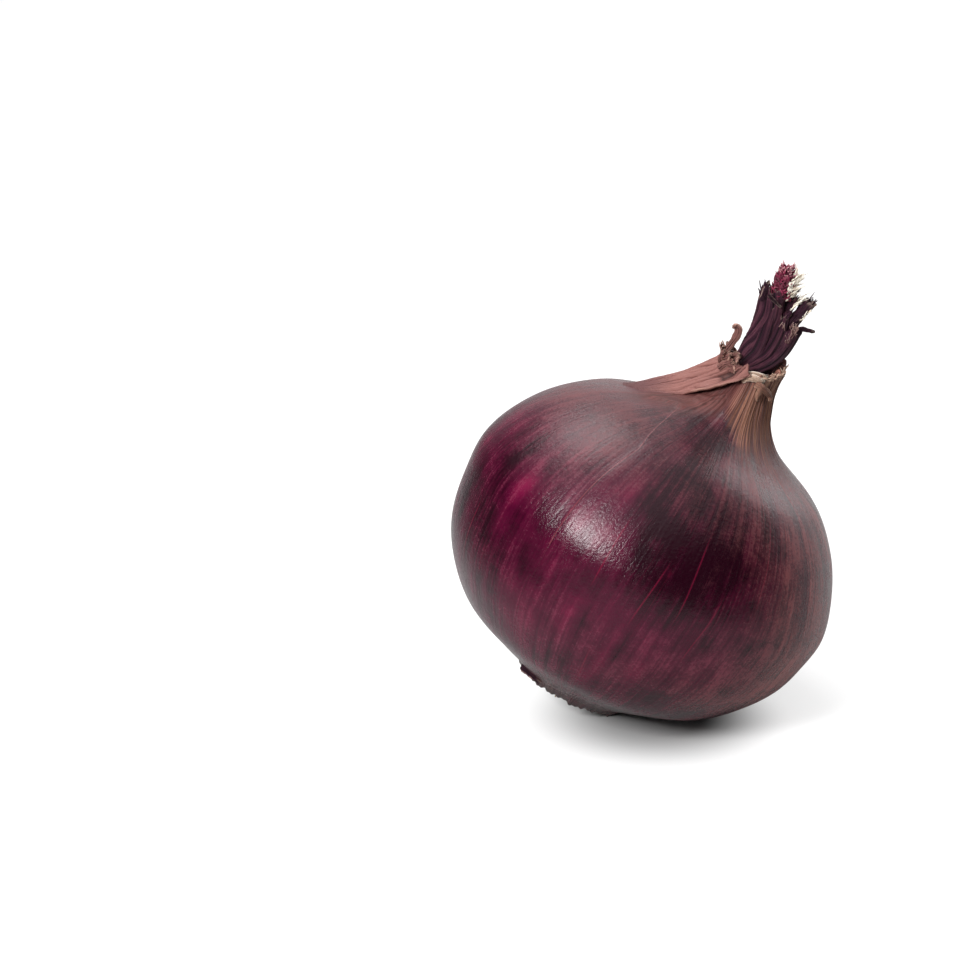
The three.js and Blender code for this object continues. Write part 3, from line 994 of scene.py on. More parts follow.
@dataclass
class Bulb:
    """The bulb in its tight skin, with pleated neck, torn rim and ragged root lip."""

    rows: int = 250
    around: int = 320
    socket: float = 4.0
    socket_depth: float = 5.6
    pleats: int = 14
    blushes: tuple[Blot, ...] = (
        Blot(36, 216.5, 2.8, 2.4, 1.4),
        Blot(30, 217, 5, 2.0, 0.4),
        Blot(27, 222, 7, 12, -0.5),
        # This blush sits under the front softbox's highlight: partly the skin's magenta, partly
        # painted highlight that tints that highlight pink.
        Blot(36.5, 247, 5, 6, 1.7),
        Blot(16, 236, 6, 13, 0.45),
        Blot(60, 246, 6, 10, -0.8),
        Blot(22.5, 247, 4.5, 1.6, 1.2),
        Blot(19.5, 263, 4.5, 1.1, 1.0),
        Blot(17, 274, 4, 1.4, 1.0),
        Blot(10.5, 261, 3.5, 1.0, 0.7),
        Blot(46, 243, 4, 1.6, 0.9),
        Blot(26, 248, 5, 12, 0.3),
        Blot(22, 290, 9, 20, 0.15),
        Blot(42, 272, 9, 13, -1.1),
        Blot(35, 258, 5, 9, -0.8),
        Blot(30, 60, 12, 16, 0.6),
        Blot(24, 120, 9, 9, 0.6),
        Blot(36, 175, 9, 9, 0.4),
        Blot(34, 350, 10, 9, 0.4),
    )
    films: tuple[Blot, ...] = (
        Blot(54, 190, 11, 30, 0.55),
        Blot(46, 222, 9, 11, 0.35),
        Blot(58, 255, 8, 22, -0.2),
        Blot(60, 246, 5, 8, -0.25),
        Blot(46, 315, 14, 17, 0.35),
        Blot(26, 329, 15, 20, 1.0),
        Blot(26, 283, 8, 9, 0.15),
        Blot(38, 262, 9, 14, -0.2),
        Blot(28, 205, 14, 12, 0.1),
        Blot(17, 262, 8, 30, 0.3),
        Blot(5, 240, 5, 20, 0.5),
        Blot(48, 80, 14, 45, 0.4),
        Blot(26, 95, 9, 12, 0.3),
        Blot(20, 30, 9, 12, 0.3),
    )
    # These pale patches are partly painted light: the strongest, on the right side, stands in for
    # light from the right and behind.
    bleach_and_side_light_blots: tuple[Blot, ...] = (
        Blot(34, 333, 26, 16, 1.5),
        Blot(14, 300, 9, 16, 0.4),
        Blot(30, 150, 18, 16, 0.4),
    )
    dried: tuple[Blot, ...] = (
        Blot(64, 290, 5, 6, 3.0),
    )
    veins: tuple[Vein, ...] = (
        Vein(249, 28, 44, 0.6),
        Vein(274, 30, 48, 0.45),
        Vein(265, 25, 41, 0.5),
        Vein(258, 8, 20, 0.4),
        Vein(284, 22, 40, 0.4),
        Vein(296, 38, 56, 0.4),
        Vein(305, 12, 34, 0.5),
        Vein(324, 24, 50, 0.6),
        Vein(345, 12, 38, 0.6),
        Vein(12, 26, 54, 0.7),
        Vein(40, 10, 36, 0.6),
        Vein(66, 30, 58, 0.7),
        Vein(95, 14, 44, 0.6),
        Vein(122, 26, 56, 0.7),
        Vein(150, 8, 34, 0.6),
        Vein(178, 24, 50, 0.5),
        Vein(203, 12, 30, 0.4),
    )

    def profile(self) -> Array:
        """Draws the turned outline, from the recess over the skin into the neck.

        Returns:
            Rows of radius and distance along the axis, in millimetres.
        """
        deep = FORM.rim - self.socket_depth
        lip = [(0, 2.2), (6, 2.1), (8.4, 1.9), (10, 0.4), (10.5, -0.7), (11, -1.35), (11.7, -1.4)]
        s = np.concatenate([np.linspace(-0.2, 8, 34), np.linspace(8.4, 52, 96)[:-1]])
        s = np.concatenate([s, np.linspace(52, 62, 40)[:-1], np.linspace(62, 72, 56)])
        outer = np.stack([FORM.radius(s), s], -1)
        mouth = [(5.15, 72.35), (4.75, 72.5), (4.3, 72.25), (4.1, 71.8), (4, 70), (3.9, 68)]
        mouth += [(3.8, deep), (0, deep - 0.3)]
        lead = curve_through(lip, np.linspace(0, 1, 18))
        rest = curve_through(mouth, np.linspace(0, 1, 16))
        rows = np.vstack([lead, outer, rest])
        rows[0, 0] = rows[-1, 0] = 0
        return rows

    def tear(self, angle: Array) -> Array:
        """Tears the rim.

        Args:
            angle: Angles round the axis, in radians.

        Returns:
            How far the rim stands above its mean height.
        """
        tall = 2.5 * np.maximum(0, np.cos(angle - 0.15)) ** 3
        coarse = 0.4 * np.sin(7 * angle + 1) + 0.35 * np.sin(13 * angle + 2.2)
        fine = 0.3 * np.sin(21 * angle) + 0.22 * np.sin(47 * angle + 1) + 0.12 * np.sin(83 * angle)
        return tall - 0.2 + coarse + fine

    def relief(self, s: Array, angle: Array) -> Array:
        """Shapes the lobes, pleats, wrinkles and layers of the skin.

        Args:
            s: Distances along the axis, in millimetres.
            angle: Angles round the axis, in radians.

        Returns:
            The heights over the plain turned outline, in millimetres.
        """
        radius = FORM.radius(s)
        fade = smooth(s, 2, 14) * (1 - smooth(s, 52, 66))
        lobes = 0.006 * np.cos(2 * angle + 0.6) + 0.005 * np.cos(3 * angle + 2.1)
        lobes += 0.003 * np.cos(5 * angle + 4)
        swing = 0.9 * np.sin(3 * angle)
        main = 0.15 * np.cos(self.pleats * angle + swing) + 0.09 * np.cos(5 * angle + 1.3)
        ridges = 0.08 * np.cos(41 * angle + 2 * np.sin(2 * angle) + 0.04 * s)
        ridges += 0.08 * np.cos(67 * angle + 3 * np.sin(angle))
        wrinkles = 0.03 * np.cos(29 * angle + 1.5 * np.sin(4 * angle)) * smooth(s, 34, 58)
        neck = smooth(s, 54, 68)
        wrinkles = wrinkles + self.creases(s, angle)
        step = 0.1 * np.tanh(self.seam(s, angle) / 0.5) * smooth(s, 30, 36) * (1 - neck)
        return radius * fade * lobes + neck * (main + ridges) + wrinkles + step

    def dryness(self, s: Array, degrees: Array) -> Array:
        """Lets the skin dry earlier on the front of the neck.

        Args:
            s: Distances along the axis, in millimetres.
            degrees: Angles round the axis, in degrees.

        Returns:
            How much earlier than the bulb's mean, in millimetres.
        """
        line = 272 - 20 * smooth(s, 59.5, 64) - 12 * smooth(s, 64, 68)
        front = smooth(degrees, 170, 190) * (1 - smooth(degrees, line - 16, line + 12))
        return sum(d.cast(s, degrees) for d in self.dried) - 9 * front * (1 - smooth(s, 67, 70))

    def crease_line(self, degrees: Array) -> Array:
        """Returns where along the axis the lowest crease below the loose skin runs."""
        return 58.3 + 2.0 * smooth(degrees, 190, 213) + 3 * smooth(degrees, 213, 240)

    def scuffed(self, s: Array, degrees: Array) -> Array:
        """Scuffs the creased skin below the loose skin.

        Args:
            s: Distances along the axis, in millimetres.
            degrees: Angles round the axis, in degrees.

        Returns:
            How matt and brown the skin is, from 0 to 1.
        """
        low = self.crease_line(degrees)
        across = smooth(degrees, 176, 190) * (1 - smooth(degrees, 240, 254))
        return smooth(s, low - 3.2, low + 0.7) * across

    def creases(self, s: Array, angle: Array) -> Array:
        """Creases the skin where the loose skin leaves the shoulder.

        Args:
            s: Distances along the axis, in millimetres.
            angle: Angles round the axis, in radians.

        Returns:
            The heights, in millimetres.
        """
        degrees = np.degrees(angle) % 360
        low = self.crease_line(degrees)
        first = 0.8 * bell(s, low, 0.55) * smooth(degrees, 182, 194)
        first = first * (1 - smooth(degrees, 212, 228))
        second = bell(s, low + 1.9 + 0.3 * np.sin(degrees / 3), 0.45) + bell(s, low + 3.4, 0.5)
        second = 0.35 * second * smooth(degrees, 196, 210) * (1 - smooth(degrees, 232, 246))
        line = 252 - 15 * smooth(s, 62, 68) - 5 * smooth(s, 68, 71)
        arc = np.radians(degrees - line) * FORM.radius(s)
        layer = smooth(arc, -0.15, 0.2) * (1 - smooth(arc, 2, 7)) * smooth(s, 61.5, 64.5)
        return first + second + 0.35 * layer

    def seam(self, s: Array, angle: Array) -> Array:
        """Returns the distance across the skin to the edge of an outer layer, in millimetres.

        The edge runs from the neck down the front, and fades past the bulb's middle.

        Args:
            s: Distances along the axis, in millimetres.
            angle: Angles round the axis, in radians.

        Returns:
            The distances, with their sign, kept within 6 millimetres.
        """
        line = 233.0 - 6 * smooth(s, 52, 57) - 24 * smooth(s, 55, 64) + 0.5 * np.sin(s / 4)
        arc = np.radians((np.degrees(angle) - line + 180) % 360 - 180) * FORM.radius(s)
        away = 12 * (1 - smooth(s, 28, 31)) + 12 * smooth(s, 61, 65)
        return np.clip(arc + np.sign(arc) * away, -6, 6)

    def build(self, finish: bpy.types.Material) -> bpy.types.Object:
        """Models the bulb.

        Args:
            finish: The glossy skin.

        Returns:
            The piece, which stands for the CAD bulb.
        """
        rows = self.profile()

        def spots(along: Array, across: Array) -> tuple[Array, Array, Array]:
            """Reads the outline.

            Args:
                along: The shares along the piece, from 0 to 1.
                across: The shares across or round it, from 0 to 1.

            Returns:
                The radii, the distances along the axis and the angles in radians.
            """
            index = along * (len(rows) - 1)
            r = np.interp(index, np.arange(len(rows)), rows[:, 0])
            s = np.interp(index, np.arange(len(rows)), rows[:, 1])
            return r, s, across * TURN

        def shape(along: Array, across: Array) -> Array:
            """Places the skin, with its relief, its torn rim and its root lip.

            Args:
                along: The shares along the piece, from 0 to 1.
                across: The shares across or round it, from 0 to 1.

            Returns:
                One point for each place, in millimetres.
            """
            r, s, angle = spots(along, across)
            skin = (r > self.socket + 0.5) | (s < 40)
            height = np.where(skin & (s > -0.1), self.relief(np.clip(s, 0, FORM.rim), angle), 0)
            lip = smooth(-s, 0.2, 1.2)
            ragged = 0.13 * np.sin(9 * angle) + 0.13 * np.sin(17 * angle + 1) - 0.2
            ragged += 0.12 * np.sin(31 * angle) + 0.12 * np.sin(57 * angle)
            torn = smooth(s, FORM.rim - 3.2, FORM.rim) * self.tear(angle) * (r > 0)
            placed = FORM.place(s + torn + lip * ragged, angle, np.where(r > 0, r + height, 0))
            placed[:, 2] = np.maximum(placed[:, 2], 0)
            return placed

        def marks(along: Array, across: Array) -> dict[str, Array]:
            """Marks what the glossy skin reads.

            Args:
                along: The shares along the piece, from 0 to 1.
                across: The shares across or round it, from 0 to 1.

            Returns:
                The values of each vertex attribute, by its name.
            """
            r, s, angle = spots(along, across)
            degrees = np.degrees(angle)
            inner = (r < self.socket + 0.6) & (s > 60)
            casts = [vein.cast(s, degrees) for vein in self.veins]
            arcs = np.stack([arc for arc, _ in casts])
            near = np.abs(arcs).argmin(0)[None]
            glows = np.stack([glow for _, glow in casts])
            return {
                "vein": np.take_along_axis(arcs, near, 0)[0],
                "glow": np.take_along_axis(glows, near, 0)[0],
                "grain": np.stack([np.cos(angle), np.sin(angle), s / 24], -1),
                "reach": np.where(inner, 75, s) + self.dryness(s, degrees),
                "scuffed": self.scuffed(s, degrees),
                "warm": bell(s, 66, 9) * bell((degrees + 180) % 360, 124, 62),
                "seam": self.seam(s, angle),
                "blush": sum(b.cast(s, degrees) for b in self.blushes),
                "bleach": sum(b.cast(s, degrees) for b in self.bleach_and_side_light_blots),
                "film": sum(b.cast(s, degrees) for b in self.films) + 0.25 * smooth(s, 40, 56),
            }

        piece = loft("bulb_skin", len(rows) - 1, self.around, shape, marks)
        return hand_over(piece, Slot.BULB, finish, "bulb")


@dataclass
class NeckTears:
    """The torn skins: a pale band and a folded corner in front of the rim, the fibres that
    stand on its right side, and a dark flap at the root end."""

    fibres: int = 230
    seed: int = 3

    def build_strips(
        self, band_finish: bpy.types.Material, corner_finish: bpy.types.Material
    ) -> None:
        """Models the torn band and the folded corner.

        Args:
            band_finish: The pale finish of the band.
            corner_finish: The tan finish of the corner.
        """
        upright, across = (0.1, 0, 1), (1, 0.2, 0.4)
        band = ((15.6, -5.3, 68.2), (16.5, -5.7, 68.5), (17.6, -5.9, 68.5), (18.6, -5.8, 68.2),
                (19.4, -5.5, 67.9))
        inner = ((16.4, -5.2, 69.0), (17.6, -5.4, 69.2), (19.0, -5.2, 68.9), (20.3, -4.6, 68.4))
        corner = ((18.2, -5.9, 67.4), (19.3, -6.3, 66.8), (20.2, -5.9, 65.9), (20.9, -5.2, 64.9),
                  (21.2, -5.0, 64.0))
        leg = ((19.2, -6.4, 66.9), (18.8, -6.6, 66.1), (18.5, -6.7, 65.2), (18.5, -6.8, 64.4))
        bands = [
            Strip(band, upright, 1.3, 0.6, 0.4, -0.25, 0.2, frayed=0.9, rows=50, columns=20),
            Strip(inner, upright, 0.9, 0.6, 0.35, -0.15, -0.3, frayed=0.9, rows=30),
        ]
        corners = [
            Strip(corner, across, 1.3, 0.45, 0.3, -0.4, 0.3, frayed=0.6, rows=40, columns=18),
            Strip(leg, across, 0.8, 0.5, 0.3, -0.3, -0.3, frayed=0.6, rows=30),
        ]
        for name, strips, finish in (
            ("rim_band", bands, band_finish), ("rim_corner", corners, corner_finish)
        ):
            pieces = [strip.build(f"{name}_{i}", i + 1) for i, strip in enumerate(strips)]
            hand_over(join(name, pieces), Slot.DRY, finish)

    def build_flap(self, finish: bpy.types.Material) -> bpy.types.Object:
        """Models the dark flap of torn skin at the root end's upper left.

        Args:
            finish: The dark leaf finish.

        Returns:
            The new object.
        """
        turns = (203, 208, 214, 221, 230)
        path = [FORM.place(np.array(-0.55), math.radians(turn), 12.75) for turn in turns]
        path = tuple(map(tuple, path))
        flap = Strip(path, (-0.55, -0.3, -0.8), 1.7, 0.35, 0.3, 0.1, 0.4, ribs=5, frayed=0.9)
        return hand_over(flap.build("root_flap", 5), Slot.DRY, finish)

    def build_fibres(self, finish: bpy.types.Material) -> bpy.types.Object:
        """Models the fibres along the rim, tall on the right and short elsewhere.

        Args:
            finish: The finish of torn fibres.

        Returns:
            The new object.
        """
        random = np.random.default_rng(self.seed)
        strands = Strands(5, 6)
        rim = FORM.rim
        for i in range(self.fibres):
            angle = math.radians(-75 + 150 * random.random() if i % 3 else 360 * random.random())
            tall = 2.8 * max(0.2, math.cos(angle - 0.1)) ** 1.5 * (0.4 + 0.7 * random.random())
            out = 4.9 + 0.5 * random.random()
            stops = (
                (rim - 2.2 - random.random(), 0.0, out),
                (rim - 0.4, 0.05, out + 0.15),
                (rim + tall * 0.6, 0.1 * (random.random() - 0.5), out + 0.5 * random.random()),
                (rim + tall, 0.5 * (random.random() - 0.5), out - 0.4 + 1.2 * random.random()),
            )
            path = [FORM.place(np.array(s), angle + turn, r) for s, turn, r in stops]
            strands.add(path, 0.09 + 0.16 * random.random(), 0.5, 0.5, random.random())
        return hand_over(strands.build("rim_fibres"), Slot.DRY, finish)


@dataclass
class LooseSkin:
    """The loose outer skin: a pleated fold from the shoulder to the rim on the upper side,
    with a free front edge, torn scraps and a standing curl."""

    low: float = 56.0
    high: float = 72.8
    lift: float = 0.55
    bridge: float = 4.0
    thick: float = 0.6
    rows: int = 90
    columns: int = 150

    def fold(self) -> bpy.types.Object:
        """Models the pleated fold, which grows out of the shoulder's skin.

        Returns:
            The new object.
        """

        def pleats(up: Array, over: Array) -> Array:
            """Pleats the fold, with sharp valleys.

            Args:
                up: The shares up the fold, from the shoulder to the rim.
                over: The shares over it, from the back to the free front edge.

            Returns:
                The heights, from about -1.4 to 0.6.
            """
            warped = over + 0.07 * np.sin(8 * over + 2) + 0.03 * np.sin(19 * over + 7 * up)
            broad = 1 - 2 * (1 - np.abs(np.sin(6.5 * math.pi * warped + 0.9 * up))) ** 2.5
            small = 1 - 2 * (1 - np.abs(np.sin(17 * math.pi * warped - 1.6 * up))) ** 3
            return 0.7 * broad + 0.3 * small - 0.4

        def shape(up: Array, over: Array) -> Array:
            """Lifts the fold off the shoulder and the neck.

            Args:
                up: The shares up the fold, from the shoulder to the rim.
                over: The shares over it, from the back to the free front edge.

            Returns:
                One point for each place, in millimetres.
            """
            wave = 1.2 * np.sin(9 * up) + 0.8 * np.sin(23 * up + 1) + 0.5 * np.sin(47 * up)
            front = 176 + 44 * up + 38 * up**2 + wave * smooth(over, 0.7, 1) * smooth(up, 0.2, 0.4)
            back = 166 - 50 * smooth(up, 0, 0.7)
            degrees = back + (front - back) * over
            upper = bell(degrees, 176, 40)
            edge = smooth(over, 0.35, 1)
            upper = (0.1 + 0.9 * upper) * (1 - edge) + 0.1 * edge * smooth(up, 0.3, 0.6)
            bridge = self.bridge * np.sin(math.pi * np.clip(up, 0.001, 0.999)) * upper
            held = -0.5 + 1.7 * smooth(up, 0.2, 0.5)
            lift = self.lift * smooth(up, 0, 0.9) * (1 - edge) + held * edge
            free = smooth(over, 0, 0.12)
            lift = lift * free - 0.45 * (1 - smooth(up, 0, 0.12) * free)
            fine = np.cos(97 * over + 6 * up) + 0.6 * np.cos(171 * over - 5 * up)
            rough = smooth(up, 0.04, 0.35) * (1 - 0.5 * smooth(over, 0.9, 1))
            lift += bridge + rough * (0.85 * pleats(up, over) + 0.04 * fine)
            s = self.low + (self.high - self.low) * up
            torn = 0.6 * np.sin(23 * over) + 0.5 * np.sin(41 * over + 1) + 0.3 * np.sin(90 * over)
            s_torn = s + torn * smooth(up, 0.85, 1)
            r = FORM.radius(np.minimum(s, FORM.rim)) + lift
            return FORM.place(s_torn, np.radians(degrees), r)

        def marks(up: Array, over: Array) -> dict[str, Array]:
            """Marks the fibres, the painted shade of the pleats and the pale edge.

            Args:
                up: The shares up the fold, from the shoulder to the rim.
                over: The shares over it, from the back to the free front edge.

            Returns:
                The values of each vertex attribute, by its name.
            """
            grain = np.stack([over * 2.5, np.zeros_like(over), up * 1.5], -1)
            return {
                "grain": grain,
                "ridge": pleats(up, over) * smooth(up, 0.05, 0.35),
                # The free edge turns pale: partly torn edge, partly a painted highlight along it.
                "frill": 0.6 * smooth(over, 0.98, 1) * smooth(up, 0.35, 0.5),
                "grown": 0.9 - 0.9 * smooth(up + 0.06 * np.sin(9 * over), 0.05, 0.42),
            }

        piece = loft("loose_fold", self.rows, self.columns, shape, marks)
        thicken(piece, self.thick)
        return piece

    def scraps(self) -> list[bpy.types.Object]:
        """Models the curl and the scraps at the fold's top.

        Returns:
            The new objects.
        """
        curl = ((12.2, -0.6, 71.0), (12.9, -0.6, 72.5), (13.8, -0.7, 73.8), (14.6, -0.8, 75.1),
                (15.1, -0.8, 76.4), (14.9, -0.7, 77.2), (14.1, -0.5, 77.5))
        strips = [
            Strip(curl, (0.9, -0.4, 0), 1.45, 0.95, 0.5, 0.3, 0.2, frayed=0.15, rows=40),
            Strip(((12.2, -2.4, 71.2), (13.6, -2.8, 72.0), (15.3, -2.9, 72.1)),
                  (0.1, -0.3, -1), 1.4, 0.6, 0.45, 0.3),
            Strip(((11.4, -3.2, 69.8), (12.6, -3.9, 70.8), (14.2, -4.4, 70.6)),
                  (0.2, -0.2, -1), 1.5, 0.6, 0.45, 0.3, 0.6),
            Strip(((12.9, -3.9, 70.3), (14.0, -4.7, 70.8), (15.2, -4.9, 70.3)),
                  (0.2, -0.2, -1), 0.9, 0.7, 0.4, 0.2, -0.5),
            Strip(((11.9, -2.0, 70.6), (11.8, -2.6, 71.8), (12.4, -2.8, 72.9)),
                  (1, -0.3, 0.1), 1.3, 0.5, 0.4, 0.3, 0.8, frayed=0.9),
            Strip(((13.6, -2.2, 70.4), (13.5, -2.7, 71.6), (14.6, -2.6, 72.6)),
                  (1, -0.3, 0.1), 1.2, 0.6, 0.4, 0.3, -0.7, frayed=0.9),
        ]
        turns = (124, 136, 148, 158, 168, 178, 187, 196, 205, 214, 222)
        for i, turn in enumerate(turns):
            rise = 1.3 + 0.7 * math.sin(2.7 * i)
            bend = 0.9 + 0.6 * math.sin(4.1 * i + 1)
            top = (72.6 + rise, turn + 9 * bend, 0.9 + bend)
            stops = ((71.0, turn, 1.2), (72.4, turn, 1.4), top)
            path = tuple(tuple(FORM.on_skin(*stop)) for stop in stops)
            around = math.radians(turn)
            wide = (-math.sin(around), math.cos(around), 0.2)
            strips.append(Strip(path, wide, 2.0, 0.4, 0.4, twist=0.7 * bend, frayed=0.9))
        return [strip.build(f"scrap_{i}", 20 + i) for i, strip in enumerate(strips)]

    def build(self, finish: bpy.types.Material) -> bpy.types.Object:
        """Models the loose skin.

        Args:
            finish: The dry skin.

        Returns:
            The piece, which stands for the CAD loose skin.
        """
        piece = join("loose_skin_fold", [self.fold(), *self.scraps()])
        return hand_over(piece, Slot.DRY, finish, "loose_skin")


@dataclass(frozen=True)
class Stalk:
    """A creased leaf base along a path, closed at both ends, with a torn top."""

    path: tuple[Point, ...]
    radius: float
    swell: float = 0.0
    pinch: float = 0.0
    flat: float = 0.9
    flutes: int = 6
    twist: float = -1.3
    torn: float = 0.4
    rows: int = 90
    columns: int = 120

    def creases(self, wall: Array, angle: Array, seed: int) -> Array:
        """Creases the leaf base lengthwise.

        Args:
            wall: The shares along its side.
            angle: Angles round it, in radians.
            seed: Sets its creases apart from others'.

        Returns:
            The heights, from about -1 to 1.
        """
        turn = angle + self.twist * smooth(wall, 0, 0.7) + 0.12 * np.sin(5 * wall + seed)
        warped = turn + 0.25 * np.sin(2 * turn + seed)
        main = 1 - 2 * (1 - np.abs(np.sin(self.flutes / 2 * warped))) ** 2.5
        small = 1 - 2 * (1 - np.abs(np.sin(self.flutes * 1.5 * warped + 2 * wall + seed))) ** 3
        return 0.7 * main + 0.3 * small

    def build(self, name: str, seed: int) -> bpy.types.Object:
        """Models the leaf base.

        Args:
            name: The piece's name.
            seed: Sets its creases apart from others'.

        Returns:
            The new object.
        """

        def shape(along: Array, across: Array) -> Array:
            """Wraps the creased wall round the path.

            Args:
                along: The shares along the piece, from 0 to 1.
                across: The shares across or round it, from 0 to 1.

            Returns:
                One point for each place, in millimetres.
            """
            angle = across * TURN
            wall = np.clip((along - 0.04) / 0.9, 0, 1)
            inward = smooth(along, 0.95, 1)
            cap = smooth(along, 0, 0.04) * (1 - inward)
            at = curve_through(self.path, wall)
            ahead = heading(self.path, wall, 0.02)
            back = unit(np.array([0, 1, 0]) - ahead[:, 1:2] * ahead)
            right = np.cross(back, ahead)
            fine = np.cos(37 * angle + 3 * np.sin(3 * wall)) + 0.7 * np.cos(61 * angle + 2 * wall)
            r = self.radius + self.swell * smooth(wall, 0.1, 0.6) - self.pinch * wall**4
            r = r * (0.98 + 0.14 * self.creases(wall, angle, seed) + 0.014 * fine) * cap
            ragged = np.sin(5 * angle + seed) + 0.8 * np.sin(11 * angle) + 0.6 * np.sin(23 * angle)
            lift = self.torn * ragged * smooth(wall, 0.85, 1) * (1 - 0.7 * inward) - 1.6 * inward
            return (
                at
                + right * (r * np.cos(angle))[:, None]
                + back * (r * self.flat * np.sin(angle))[:, None]
                + ahead * lift[:, None]
            )

        def marks(along: Array, across: Array) -> dict[str, Array]:
            """Marks the fibres, the painted shade of the creases and the torn top.

            Args:
                along: The shares along the piece, from 0 to 1.
                across: The shares across or round it, from 0 to 1.

            Returns:
                The values of each vertex attribute, by its name.
            """
            angle = across * TURN
            wall = np.clip((along - 0.04) / 0.9, 0, 1)
            turn = angle + self.twist * smooth(wall, 0, 0.7)
            return {
                "grain": np.stack([np.cos(turn) + seed, np.sin(turn), along * 1.5], -1),
                "reach": along,
                "ridge": 0.8 * self.creases(wall, angle, seed) - 0.25,
                "frill": 0.8 * smooth(along, 0.92, 0.95),
            }

        return loft(name, self.rows, self.columns, shape, marks)


